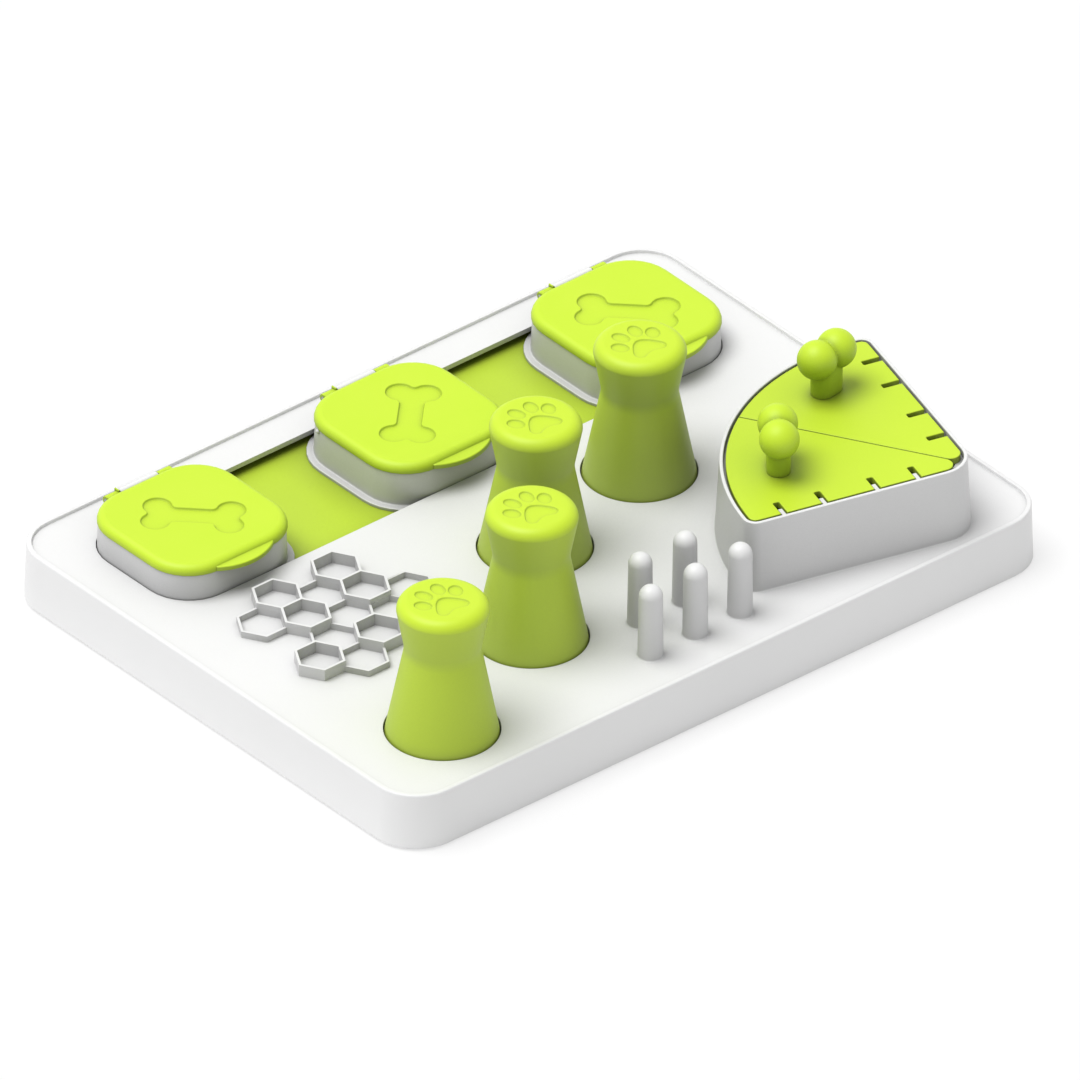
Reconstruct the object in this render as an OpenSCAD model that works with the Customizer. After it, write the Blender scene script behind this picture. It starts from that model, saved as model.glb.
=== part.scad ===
// Slow feeder puzzle: a shallow board that carries three sliding lidded boxes,
// four lift-off cups, a sector bin with two lift-off lids, a honeycomb and five pegs.
// The origin is the centre of the footprint, on the surface that the board stands on.
// +X runs along the long side, +Y towards the row of boxes and +Z up.

/* [Board] */
// Length of the board along X
board_l = 400; // [394:1:430]
// Width of the board along Y
board_w = 298; // [292:1:330]
// Height of the board from its skirt's lower edge to its rim
board_h = 30; // [26:0.5:40]
// Radius of the board's upright corners at the bottom
board_corner = 24; // [18:0.5:28]
// How far each side leans in over the board's height
board_draft = 0.9; // [0.3:0.1:1.5]
// Wall thickness of the skirt
skirt_t = 2.6; // [2:0.1:3.5]
// Width of the raised rim round the deck
rim_w = 2.4; // [1.6:0.1:4]
// Height of the rim above the deck
rim_h = 1.6; // [0.8:0.1:2.4]
// Thickness of the deck
deck_t = 2.6; // [2:0.1:3.4]
// Thickness of the stiffening ribs under the deck
rib_t = 1.8; // [1.2:0.1:3]
// Depth of the stiffening ribs below the deck
rib_depth = 8; // [4:0.5:14]

/* [Feet] */
// Radius of a rubber foot
foot_r = 6; // [4:0.5:7]
// How far a foot stands out below the skirt
foot_proud = 1; // [0.6:0.1:2]
// Depth of the pocket that holds a foot
foot_pocket = 1.6; // [1:0.1:3]
// Distance of a foot's centre from the board's sides
foot_inset = 13; // [12:0.5:15]
// Wall of the post round a foot
foot_post_wall = 1.6; // [1.2:0.1:2.5]

/* [Sliding boxes] */
// Half the width of a box at the deck
box_half = 38.9; // [36:0.1:39.5]
// Radius of a box's upright corners
box_corner = 23.2; // [18:0.2:26]
// How far each side of a box leans in over its height
box_draft = 0.6; // [0.2:0.1:0.8]
// Wall thickness of a box at its top
box_wall = 2.2; // [1.9:0.1:2.8]
// Thickness of a box's floor
box_floor = 1.8; // [1.2:0.1:3]
// Height of a box's wall above the deck
box_rise = 13.4; // [11:0.2:20]
// Width of the flange that keeps a box in its slot
flange_w = 3.4; // [2.4:0.1:4.4]
// Thickness of the flange
flange_t = 1.5; // [1:0.1:2]
// Height of the thin ring inside the lid
ring_h = 1.8; // [1:0.1:1.9]
// Radius of the small nub on the middle box's left wall
nub_r = 1.3; // [0.8:0.1:1.8]
// Distance of the nub behind the middle of the wall
nub_back = 22.7; // [16:0.1:28]
// Distance of the nub below the top of the wall
nub_low = 1.5; // [1:0.1:3]

/* [Slot and tray] */
// Distance from the board's back edge to the slot
slot_from_back = 21.9; // [20:0.1:30]
// Distance from the board's ends to the slot
slot_from_end = 26; // [24:0.1:40]
// Gap between a box and the slot's edge
slot_gap = 0.3; // [0.2:0.05:0.6]
// Depth of the tray's floor below the deck
tray_depth = 6; // [5:0.1:8]
// Thickness of the tray
tray_t = 2; // [1.4:0.1:3]
// Gap between a flange and the tray's side
tray_gap = 0.8; // [0.4:0.1:1.4]
// Width of the tray's screw flange
tray_flange = 10; // [9:0.2:12]
// Radius of a screw boss under the deck
boss_r = 3.8; // [3:0.1:4.4]
// Radius of a screw's shank
screw_r = 1.25; // [1:0.05:1.6]
// Radius of a screw's head
screw_head_r = 2.8; // [2.2:0.1:3.4]
// Height of a screw's head
screw_head_h = 1.8; // [1.2:0.1:2.4]
// How much narrower a screw's head is at its outer side
screw_head_taper = 0.6; // [0.2:0.1:1]
// Gap round a screw in the tray
screw_gap = 0.3; // [0.1:0.05:0.5]

/* [Box lids] */
// How far a lid stands out past the top of the box's wall
lid_overhang = 0.6; // [0.3:0.1:1.2]
// Height of a lid
lid_h = 4.9; // [4.8:0.1:8]
// Radius of the lid's rounded upper edge
lid_round = 4.3; // [3:0.1:4.6]
// Wall thickness of the lid's skirt
lid_wall = 1.6; // [1.2:0.1:1.7]
// Depth of the hollow under the lid
lid_hollow = 2.4; // [2.2:0.1:2.8]
// Length of the finger tab along the lid's front edge
tab_l = 35; // [24:0.5:44]
// How far the finger tab stands out
tab_out = 5.7; // [4:0.1:8]
// Thickness of the finger tab
tab_t = 2.4; // [1.6:0.1:3.6]
// Distance of the bone's lobes from its middle, along it
bone_reach = 18; // [14:0.2:21]
// Distance of the bone's lobes from its middle, across it
bone_spread = 6.4; // [5.4:0.1:7]
// Radius of a bone lobe
bone_lobe = 6.9; // [5.6:0.1:8]
// Width of the bone's shaft
bone_shaft = 11.6; // [8:0.2:13]
// Depth of the bone's recess
bone_depth = 0.9; // [0.4:0.1:1.2]

/* [Box hinges] */
// Distance of the hinge's axis behind the box's wall
hinge_back = 1.4; // [1.2:0.1:1.8]
// Height of the hinge's axis above the box's wall
hinge_up = 0.9; // [0.6:0.1:1.4]
// Radius of a lid's knuckle
knuckle_r = 2.3; // [2:0.1:2.8]
// Length of a knuckle
knuckle_l = 8.2; // [5:0.1:12]
// Distance from the box's middle to a knuckle's inner end
knuckle_from = 12; // [8:0.2:16]
// Radius of the box's hinge barrel
barrel_r = 2.6; // [2.2:0.1:3]
// Gap between the barrel, the knuckles and their pockets
hinge_gap = 0.3; // [0.2:0.05:0.5]
// Radius of the hinge pin
pin_r = 1; // [0.8:0.05:1.2]
// Radial clearance of the pin in a knuckle
pin_clear = 0.06; // [0.03:0.01:0.1]

/* [Cups] */
// Radius of a cup at its foot
cup_base_r = 27.8; // [25:0.1:28.6]
// Height of a cup
cup_h = 77.3; // [70:0.1:90]
// Radius where the cup's two straight sides would meet
cup_waist_r = 18.3; // [15:0.1:21]
// Height of the waist above the cup's foot
cup_waist_z = 50.2; // [40:0.1:56]
// Radius that blends the waist
cup_blend = 16; // [8:1:24]
// Radius of the cup's crown
cup_crown_r = 22.3; // [21.6:0.1:26]
// Radius of the crown's rounded edge
cup_round = 5.7; // [4:0.1:7]
// Wall thickness of a cup
cup_wall = 2; // [1.5:0.1:2.6]
// Thickness of a cup's crown
cup_top = 2.6; // [2:0.1:4]
// Depth of the well that a cup stands in
well_depth = 4; // [2.6:0.1:5]
// Wall and floor thickness of a well
well_t = 2; // [1.4:0.1:2.4]
// Gap between a cup's foot and the wall of its well
cup_gap = 0.25; // [0.15:0.05:0.5]
// Depth of the paw's recess
paw_depth = 0.8; // [0.4:0.1:1.2]
// Distance from the middle of a paw to the tips of its middle toes
paw_size = 13; // [9:0.1:14]
// Distance from the board's left side to the first cup
cup_from_left = 57.4; // [50:0.1:64]
// Distance from the board's front side to the first cup, as a share of the board's width
cup_front_share = 0.149; // [0.14:0.001:0.16]
// Distance from the board's right side to the fourth cup
cup_from_right = 129.9; // [126:0.1:134]
// Gap between the fourth cup's well and the tray
cup_to_tray = 0.75; // [0.5:0.05:2]
// Place of the second cup between the first and the fourth, along X
cup_2_along = 0.389; // [0.38:0.001:0.42]
// Place of the second cup between the first and the fourth, along Y
cup_2_across = 0.306; // [0.26:0.001:0.34]
// Place of the third cup between the first and the fourth, along X
cup_3_along = 0.626; // [0.6:0.001:0.64]
// Place of the third cup between the first and the fourth, along Y
cup_3_across = 0.836; // [0.8:0.001:0.88]

/* [Sector bin] */
// Distance from the board's right side to the bin's sharp apex
bin_from_right = 40; // [34:0.1:44]
// Distance from the board's front side to the bin's sharp apex
bin_from_front = 8.1; // [6:0.1:16]
// Direction of the bin's back wall
bin_turn = 75.5; // [74:0.5:78]
// Height of the bin's wall above the deck
bin_h = 38.3; // [30:0.1:46]
// Gap between the bin's curved wall and the fourth cup
bin_to_cup = 17.2; // [12:0.1:28]
// Distance of the straight walls behind the curved wall's centre
bin_back = 6.2; // [3:0.1:8]
// Wall thickness of the bin
bin_wall_t = 1.8; // [1.4:0.1:2.6]
// Radius of the corner at the apex
bin_apex_r = 16.5; // [12:0.1:20]
// Radius of the two other corners
bin_end_r = 6.5; // [5:0.1:9]
// Width of the ledge that carries the lids
ledge_w = 4; // [3:0.1:6]
// Height of the ledge
ledge_h = 2; // [1.4:0.1:4]
// Width of a guide rib on the front wall
guide_w = 2.2; // [1.4:0.1:2.6]
// How far a guide rib stands in from the wall
guide_in = 6.4; // [3:0.1:7]
// How far a guide rib's top lies below the lid's top
guide_low = 0.9; // [0.2:0.1:1.4]

/* [Sector lids] */
// Thickness of a sector lid
sector_t = 3.6; // [2:0.1:5]
// How far the lids lie below the bin's edge
sector_drop = 0.2; // [0.1:0.1:2]
// Gap between the lids and the wall
sector_gap = 1.5; // [0.4:0.1:2]
// Gap between the two lids
split_gap = 0.5; // [0.3:0.05:1]
// Radius of a lid's tip at the apex
tip_r = 5; // [3:0.1:7]
// Length of a notch
notch_l = 9.5; // [7:0.1:12]
// Gap between a guide rib and the sides of its notch
notch_gap = 0.55; // [0.4:0.05:0.9]
// Distance from the apex to the middle of the row of notches, as a share of the bin's radius
notch_mid = 0.572; // [0.54:0.002:0.59]
// Distance between the two middle notches, as a share of the bin's radius
notch_inner = 0.24; // [0.18:0.002:0.26]
// Distance between the two notches of a pair, as a share of the bin's radius
notch_pair = 0.187; // [0.12:0.001:0.2]
// Distance from the apex to a knob, as a share of the bin's radius
knob_reach = 0.829; // [0.7:0.001:0.85]
// Direction from the apex to a knob, from the other lid's straight wall
knob_turn = 66.3; // [62:0.1:70]
// Radius of a knob's balls
ball_r = 9.7; // [8:0.1:11]
// Distance between the centres of a knob's balls
ball_apart = 13.7; // [10:0.1:15]
// Height of the balls' centres above the lid
ball_up = 21; // [17:0.1:26]
// Radius of a knob's stem
stem_r = 5.8; // [5:0.1:7]
// Distance between the centres of the stem's two round halves
stem_apart = 5.6; // [3:0.1:7]
// Radius of the spigot that holds a knob in its lid
spigot_r = 3; // [2:0.1:4]
// Gap between the spigot and its hole
spigot_gap = 0.03; // [0.02:0.01:0.06]

/* [Honeycomb] */
// Distance from the board's left side to the first column of cells
comb_from_left = 46.4; // [42:0.1:50]
// Distance from the slot to the middle of the first cell
comb_from_slot = 34.2; // [32:0.1:38]
// Distance between the centres of neighbouring cells
comb_pitch = 21.2; // [18:0.1:21.8]
// Wall thickness of the cells
comb_wall = 1.2; // [0.8:0.1:2]
// Height of the tall cells
comb_tall = 6.3; // [5:0.1:9]
// Height of the low cells
comb_low = 3.4; // [2:0.1:4.6]

/* [Pegs] */
// Place of the middle peg between the second cup and the bin
peg_along = 0.44; // [0.4:0.01:0.48]
// Distance from the board's front side to the front row of pegs
peg_from_front = 28.3; // [20:0.1:32]
// Distance between neighbouring pegs
peg_pitch = 27.8; // [20:0.1:29]
// Height of a peg
peg_h = 39.5; // [30:0.5:50]
// Radius of a peg at its foot
peg_base_r = 6.2; // [5.9:0.1:7]
// Radius of a peg at its rounded top
peg_top_r = 5.8; // [4:0.1:5.9]

/* [Hidden] */

$fn = 96;
white = "whitesmoke";
lime = "#c8ee3c";
seat = 0.1;             // gap under a moving piece that rests on another
cut = 1;                // how far a cutting shape runs past the face that it cuts
arc_steps = 10;         // straight steps in a rounded quarter
press_gap = 0.02;       // gap round what is pressed or screwed into plastic
screw_end = 0.4;        // gap beyond a screw's point
rib_end = 2;            // gap between the ribs and the tray
root_half = sqrt(2) / 2;

z_deck = foot_proud + board_h - rim_h;
z_under = z_deck - deck_t;
row_y = board_w / 2 - slot_from_back - box_half - slot_gap;
slot_y = row_y - box_half - slot_gap;
box_pitch = board_l / 2 - slot_from_end - slot_gap - box_half;
flange_half = box_half + flange_w;
flange_corner = box_corner + flange_w;
z_tray = z_deck - tray_depth;
z_box = z_tray + seat;
box_h = z_deck + box_rise - z_box;
box_top_half = box_half - box_draft;
lid_half = box_top_half + lid_overhang;
lid_corner = box_corner - box_draft + lid_overhang;
z_lid = z_deck + box_rise + seat;
hinge_y = row_y + box_top_half + hinge_back;
hinge_z = z_deck + box_rise + hinge_up;
knuckle_to = knuckle_from + knuckle_l;
barrel_l = 2 * (knuckle_from - hinge_gap);
z_cup = z_deck - well_depth + seat;
well_r = cup_base_r + cup_gap;
tray_side = flange_half + tray_gap;
tray_front = row_y - tray_side - tray_t - tray_flange;
cup_1 = [cup_from_left - board_l / 2, (cup_front_share - 0.5) * board_w];
cup_4 = [board_l / 2 - cup_from_right, tray_front - cup_to_tray - well_r - well_t];
cup_2 = between(cup_1, cup_4, cup_2_along, cup_2_across);
cup_3 = between(cup_1, cup_4, cup_3_along, cup_3_across);
cup_spots = [cup_1, cup_2, cup_3, cup_4];
apex = [board_l / 2 - bin_from_right, bin_from_front - board_w / 2];
bin_centre = apex + bin_back * [cos(bin_turn) - sin(bin_turn), sin(bin_turn) + cos(bin_turn)];
bin_r = norm(bin_centre - cup_4) - cup_base_r - bin_to_cup;
bin_left = apex.x - sin(bin_turn) * (bin_back + sqrt(bin_r * bin_r - bin_back * bin_back));
peg_x = cup_2.x + cup_base_r + peg_along * (bin_left - cup_2.x - cup_base_r);
peg_y = peg_from_front - board_w / 2;
comb_x = comb_from_left - board_l / 2;
comb_y = slot_y - comb_from_slot;
z_sector = z_deck + bin_h - sector_drop - sector_t;
z_sector_top = z_sector + sector_t;
boss_from_row = tray_side + tray_t + tray_flange / 2;
boss_at_x = [-1.125, -0.375, 0.375, 1.125] * box_pitch;
guide_at = bin_r * (notch_mid * [1, 1, 1, 1] + notch_inner / 2 * [-1, -1, 1, 1] + notch_pair * [-1, 0, 0, 1]);
notch_w = guide_w + 2 * notch_gap;
tall_cells = [[1, 0], [3, 0], [1, 1], [3, 1], [0, 2], [2, 2]];
low_cells = [[0, 0], [2, 0], [2, 1], [4, 1], [1, 2], [3, 2], [1, 3]];

// The point at the shares u along X and v along Y of the way from a to b
function between(a, b, u, v) = [a.x + u * (b.x - a.x), a.y + v * (b.y - a.y)];

// Points along an arc about c, from angle a to angle b
function arc(c, r, a, b, n) =
    [for (i = [0:n]) c + r * [cos(a + (b - a) * i / n), sin(a + (b - a) * i / n)]];

// A unit vector along v
function unit(v) = v / norm(v);

// An angle brought between -180 and 180
function wrap(a) = a > 180 ? a - 360 : a <= -180 ? a + 360 : a;

// The arc of radius r that rounds the corner at p between the points before and after it
function rounded_corner(before, p, after, r, n) =
    let(u = unit(before - p), v = unit(after - p), half = acos(u * v) / 2,
        c = p + unit(u + v) * r / sin(half),
        s = p + u * r / tan(half) - c, e = p + v * r / tan(half) - c,
        a = atan2(s.y, s.x), sweep = wrap(atan2(e.y, e.x) - a))
    arc(c, r, a, a + sweep, n);

// A square of half size h with corners of radius r
module rounded_square(hx, hy, r) {
    square([2 * hx, 2 * (hy - r)], center = true);
    square([2 * (hx - r), 2 * hy], center = true);
    for (sx = [-1, 1], sy = [-1, 1]) translate([sx * (hx - r), sy * (hy - r)]) circle(r);
}

// A block with upright round corners whose four sides lean in by draft over height h
module leaning_block(hx, hy, r, h, draft) {
    rotate([90, 0, 90]) linear_extrude(2 * (hx - r), center = true)
        polygon([[-hy, 0], [hy, 0], [hy - draft, h], [draft - hy, h]]);
    rotate([90, 0, 0]) linear_extrude(2 * (hy - r), center = true)
        polygon([[-hx, 0], [hx, 0], [hx - draft, h], [draft - hx, h]]);
    for (sx = [-1, 1], sy = [-1, 1]) translate([sx * (hx - r), sy * (hy - r), 0])
        cylinder(h = h, r1 = r, r2 = r - draft);
}

// The side of a slab of height h whose upper edge is rounded by e, out to reach x
function soft_side(x, h, e) = concat([[x, 0]], arc([x - e, h - e], e, 0, 90, arc_steps));

// A slab with upright round corners and a rounded upper edge
module soft_slab(half, r, h, e) {
    side = soft_side(half, h, e);
    section = concat(side, [for (i = [len(side) - 1:-1:0]) [-side[i].x, side[i].y]]);
    rotate([90, 0, 90]) linear_extrude(2 * (half - r), center = true) polygon(section);
    rotate([90, 0, 0]) linear_extrude(2 * (half - r), center = true) polygon(section);
    for (sx = [-1, 1], sy = [-1, 1]) translate([sx * (half - r), sy * (half - r), 0])
        rotate_extrude() polygon(concat([[0, 0]], soft_side(r, h, e), [[0, h]]));
}

// A bar of radius r and length l along X, about the hinge's axis
module hinge_bar(r, from, l) {
    translate([from, hinge_y - row_y, hinge_z]) rotate([0, 90, 0]) cylinder(h = l, r = r);
}

// Both of a lid's knuckles, or their pockets, grown by g
module knuckles(g) {
    hinge_bar(knuckle_r + g, knuckle_from - g, knuckle_l + 2 * g);
    hinge_bar(knuckle_r + g, -knuckle_to - g, knuckle_l + 2 * g);
}

// Outline of the bin about the curved wall's centre, drawn in by i
function bin_end(i) =
    let(x = bin_end_r - bin_back, r = bin_r - bin_end_r) [x, sqrt(r * r - x * x)];
function bin_outline(i) =
    let(e = bin_end(i), a = atan2(e.y, e.x), f = [e.y, e.x], m = bin_apex_r - bin_back)
    concat(arc([m, m], bin_apex_r - i, 180, 270, arc_steps),
        arc(f, bin_end_r - i, -90, 90 - a, arc_steps),
        arc([0, 0], bin_r - i, 90 - a, a, 5 * arc_steps),
        arc(e, bin_end_r - i, a, 180, arc_steps));

// Outline of the lid beside the front wall; the other one is its mirror image
function sector_outline() =
    let(i = bin_wall_t + sector_gap, s = split_gap / 2, e = bin_end(i), a = atan2(e.y, e.x),
        tip = [i - bin_back + tip_r, i - bin_back + tip_r + (tip_r + s) / root_half])
    concat(arc(tip, tip_r, 180, 315, arc_steps),
        arc([0, 0], bin_r - i, 45 + asin(s / (bin_r - i)), a, 3 * arc_steps),
        arc(e, bin_end_r - i, a, 180, arc_steps));

// Places its children at the bin, with local X along the back wall
module at_bin() {
    translate([apex.x, apex.y, 0]) rotate(bin_turn) translate([bin_back, bin_back, 0]) children();
}

// Draws its children once as they are and once mirrored across the bin's middle
module on_side(front) {
    if (front) children();
    else mirror([1, -1, 0]) children();
}

module base_board() {
    color(white) difference() {
        union() {
            translate([0, 0, foot_proud]) difference() {
                leaning_block(board_l / 2, board_w / 2, board_corner, board_h, board_draft);
                translate([0, 0, board_h - rim_h]) linear_extrude(rim_h + cut)
                    rounded_square(board_l / 2 - board_draft - rim_w, board_w / 2 - board_draft - rim_w,
                        board_corner - board_draft - rim_w);
                translate([0, 0, -cut]) linear_extrude(z_under - foot_proud + cut)
                    rounded_square(board_l / 2 - board_draft - skirt_t, board_w / 2 - board_draft - skirt_t,
                        board_corner - board_draft - skirt_t);
            }
            for (c = cup_spots) translate([c.x, c.y, z_deck - well_depth - well_t])
                cylinder(h = well_depth + well_t, r = well_r + well_t);
            for (x = boss_at_x, s = [-1, 1]) translate([x, row_y + s * boss_from_row, z_tray])
                cylinder(h = z_deck - z_tray - deck_t / 2, r = boss_r);
            foot_posts();
            deck_ribs();
        }
        for (c = cup_spots) translate([c.x, c.y, z_deck - well_depth])
            cylinder(h = well_depth + cut, r = well_r);
        translate([0, row_y, z_under - cut]) linear_extrude(deck_t + 2 * cut)
            rounded_square(box_pitch + row_y - slot_y, row_y - slot_y, box_corner + slot_gap);
        for (x = boss_at_x, s = [-1, 1]) translate([x, row_y + s * boss_from_row, z_tray - cut])
            cylinder(h = z_deck - z_tray - deck_t / 2 + cut, r = screw_r + press_gap);
        at_feet() translate([0, 0, foot_proud - cut]) cylinder(h = foot_pocket + cut, r = foot_r + press_gap);
    }
}

module at_feet() {
    for (sx = [-1, 1], sy = [-1, 1])
        translate([sx * (board_l / 2 - foot_inset), sy * (board_w / 2 - foot_inset), 0]) children();
}

// Posts in the four corners, from the feet up to the deck
module foot_posts() {
    intersection() {
        at_feet() translate([0, 0, foot_proud])
            cylinder(h = z_deck - deck_t / 2 - foot_proud, r = foot_r + foot_post_wall);
        translate([0, 0, foot_proud])
            leaning_block(board_l / 2 - skirt_t / 2, board_w / 2 - skirt_t / 2,
                board_corner - skirt_t / 2, board_h, board_draft);
    }
}

// Ribs under the deck, between the wells, from the front skirt to the tray
module deck_ribs() {
    front = -board_w / 2 + skirt_t;
    back = tray_front - rib_end;
    for (x = [cup_1.x + cup_2.x, cup_3.x + cup_4.x, cup_4.x + board_l / 2] / 2)
        translate([x - rib_t / 2, front, z_under - rib_depth])
            cube([rib_t, back - front, rib_depth + deck_t / 2]);
}

module bin_wall() {
    ledge_z = z_sector - seat - ledge_h;
    color(white) at_bin() {
        translate([0, 0, z_deck]) linear_extrude(bin_h) difference() {
            polygon(bin_outline(0));
            polygon(bin_outline(bin_wall_t));
        }
        translate([0, 0, ledge_z]) linear_extrude(ledge_h) difference() {
            polygon(bin_outline(bin_wall_t / 2));
            polygon(bin_outline(bin_wall_t + ledge_w));
        }
        for (d = guide_at)
            translate([bin_wall_t / 2 - bin_back, d - bin_back - guide_w / 2, ledge_z])
                cube([bin_wall_t / 2 + guide_in, guide_w, ledge_h + seat + sector_t - guide_low]);
    }
}

module sector_lid(front) {
    color(lime) at_bin() on_side(front) translate([0, 0, z_sector]) difference() {
        linear_extrude(sector_t) difference() {
            polygon(sector_outline());
            for (d = guide_at)
                translate([bin_wall_t - bin_back, d - bin_back - notch_w / 2])
                    square([sector_gap + notch_l, notch_w]);
        }
        translate(concat(knob_spot(), [-cut])) cylinder(h = sector_t + 2 * cut, r = spigot_r + spigot_gap);
    }
}

// Where a knob stands on its lid, in the bin's own directions
function knob_spot() = [-bin_back, -bin_back] + knob_reach * bin_r * [cos(knob_turn), sin(knob_turn)];

module knob(front) {
    color(lime) at_bin() on_side(front) translate(concat(knob_spot(), [z_sector_top])) rotate(-22.5) {
        translate([0, 0, -sector_t]) cylinder(h = sector_t + stem_r, r = spigot_r);
        linear_extrude(ball_up) {
            for (s = [-1, 1]) translate([s * stem_apart / 2, 0]) circle(stem_r);
            square([stem_apart, 2 * stem_r], center = true);
        }
        for (s = [-1, 1]) translate([s * ball_apart / 2, 0, ball_up]) sphere(ball_r);
    }
}

// Centre of the cell in column c.x and row c.y, counted from the first one
function cell_at(c) =
    [comb_x + c.x * comb_pitch * sqrt(3) / 2, comb_y + (c.x % 2) * comb_pitch / 2 - c.y * comb_pitch];

// The walls round the given cells, as high as h
module cell_walls(cells, h) {
    translate([0, 0, z_deck]) linear_extrude(h) difference() {
        union() for (c = cells) translate(cell_at(c)) circle((comb_pitch + comb_wall) / sqrt(3), $fn = 6);
        for (c = cells) translate(cell_at(c)) circle((comb_pitch - comb_wall) / sqrt(3), $fn = 6);
    }
}

module honeycomb() {
    color(white) {
        difference() {
            cell_walls(low_cells, comb_low);
            for (c = tall_cells) translate(concat(cell_at(c), [z_deck - cut]))
                cylinder(h = comb_low + 2 * cut, r = (comb_pitch - comb_wall) / sqrt(3), $fn = 6);
        }
        cell_walls(tall_cells, comb_tall);
    }
}

module peg() {
    cylinder(h = peg_h - peg_top_r, r1 = peg_base_r, r2 = peg_top_r);
    translate([0, 0, peg_h - peg_top_r]) sphere(peg_top_r);
}

module pegs() {
    color(white) for (row = [0, 1], i = [0:2 - row])
        translate([peg_x + (i - 1 + row / 2) * peg_pitch, peg_y + row * peg_pitch * sqrt(3) / 2, z_deck])
            peg();
}

// A trough under the slot, with a flange that is screwed to the deck's bosses
module slide_tray() {
    corner = flange_corner + tray_gap;
    color(lime) translate([0, row_y, 0]) difference() {
        union() {
            translate([0, 0, z_tray - tray_t]) linear_extrude(tray_t)
                rounded_square(box_pitch + tray_side + tray_t + tray_flange, tray_side + tray_t + tray_flange,
                    corner + tray_t + tray_flange);
            translate([0, 0, z_tray - tray_t / 2]) linear_extrude(z_under - z_tray + tray_t / 2)
                rounded_square(box_pitch + tray_side + tray_t, tray_side + tray_t, corner + tray_t);
        }
        translate([0, 0, z_tray]) linear_extrude(tray_depth)
            rounded_square(box_pitch + tray_side, tray_side, corner);
        for (x = boss_at_x, s = [-1, 1]) translate([x, s * boss_from_row, z_tray - tray_t - cut])
            cylinder(h = tray_t + 2 * cut, r = screw_r + screw_gap);
    }
}

module tray_screws() {
    shank = tray_t + z_deck - z_tray - deck_t / 2 - screw_end;
    color("silver") for (x = boss_at_x, s = [-1, 1])
        translate([x, row_y + s * boss_from_row, z_tray - tray_t]) {
            cylinder(h = shank, r = screw_r);
            translate([0, 0, -screw_head_h])
                cylinder(h = screw_head_h, r1 = screw_head_r - screw_head_taper, r2 = screw_head_r);
        }
}

module feet() {
    color("dimgray") at_feet() cylinder(h = foot_proud + foot_pocket, r = foot_r);
}

// A box at x; the middle one has a small nub on its left wall
module slide_box(x, nub = false) {
    inner = box_top_half - box_wall;
    color(white) translate([x, row_y, 0]) difference() {
        union() {
            translate([0, 0, z_box]) leaning_block(box_half, box_half, box_corner, box_h, box_draft);
            translate([0, 0, z_box]) linear_extrude(flange_t)
                rounded_square(flange_half, flange_half, flange_corner);
            translate([0, 0, z_box]) linear_extrude(box_h + ring_h)
                rounded_square(ring_half(), ring_half(), box_corner - box_half + ring_half());
            hinge_bar(barrel_r, -barrel_l / 2, barrel_l);
            if (nub) translate(nub_spot()) sphere(nub_r);
        }
        translate([0, 0, z_box + box_floor]) linear_extrude(box_h + ring_h)
            rounded_square(inner, inner, box_corner - box_half + inner);
        knuckles(hinge_gap);
        hinge_bar(pin_r + press_gap / 2, -barrel_l / 2 - cut, barrel_l + 2 * cut);
    }
}

// Where the nub sits, on the rounded corner of the left wall
function nub_spot() =
    let(c = box_half - box_corner, r = box_corner - box_draft, y = nub_back - c)
    [-c - sqrt(r * r - y * y), nub_back, z_box + box_h - nub_low];

// Half width of the thin ring that the lid fits over
function ring_half() = lid_half - lid_wall - hinge_gap;

module box_lid(x, bone_turn) {
    hollow = lid_half - lid_wall;
    tab_r = (tab_l * tab_l / 4 + tab_out * tab_out) / (2 * tab_out);
    color(lime) translate([x, row_y, 0]) difference() {
        union() {
            difference() {
                translate([0, 0, z_lid]) soft_slab(lid_half, lid_corner, lid_h, lid_round);
                translate([0, 0, z_lid - cut]) linear_extrude(lid_hollow + cut)
                    rounded_square(hollow, hollow, lid_corner - lid_wall);
                hinge_bar(barrel_r + hinge_gap, -knuckle_from, 2 * knuckle_from);
            }
            translate([0, 0, z_lid]) linear_extrude(tab_t) intersection() {
                translate([0, tab_r - lid_half - tab_out]) circle(tab_r);
                translate([-tab_l / 2, -lid_half - tab_out - cut])
                    square([tab_l, tab_out + cut + lid_wall / 2]);
            }
            knuckles(0);
        }
        translate([0, 0, z_lid + lid_h - bone_depth]) linear_extrude(bone_depth + cut) bone(bone_turn);
        hinge_bar(pin_r + pin_clear, -knuckle_to - cut, 2 * knuckle_to + 2 * cut);
    }
}

module bone(turn) {
    rotate(turn) {
        square([2 * bone_reach, bone_shaft], center = true);
        for (sx = [-1, 1], sy = [-1, 1]) translate([sx * bone_reach, sy * bone_spread]) circle(bone_lobe);
    }
}

module hinge_pin(x) {
    color("silver") translate([x, row_y, 0]) hinge_bar(pin_r, -knuckle_to, 2 * knuckle_to);
}

// The cup's side from foot to crown, drawn in by i, with the crown's top at height top
function cup_side(i, top) =
    let(foot = [cup_base_r - i, 0], waist = [cup_waist_r - i, cup_waist_z],
        shoulder = [cup_crown_r - i, cup_h - cup_round])
    concat([foot], rounded_corner(foot, waist, shoulder, cup_blend + i, arc_steps),
        arc([cup_crown_r - cup_round, top - cup_round + i], cup_round - i, 0, 90, arc_steps), [[0, top]]);

module cup(spot) {
    color(lime) translate([spot.x, spot.y, z_cup]) difference() {
        rotate_extrude() polygon(concat([[0, 0]], cup_side(0, cup_h)));
        rotate_extrude() polygon(concat([[0, -cut], [cup_base_r - cup_wall, -cut]], cup_side(cup_wall, cup_h - cup_top)));
        translate([0, 0, cup_h - paw_depth]) linear_extrude(paw_depth + cut) paw();
    }
}

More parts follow.
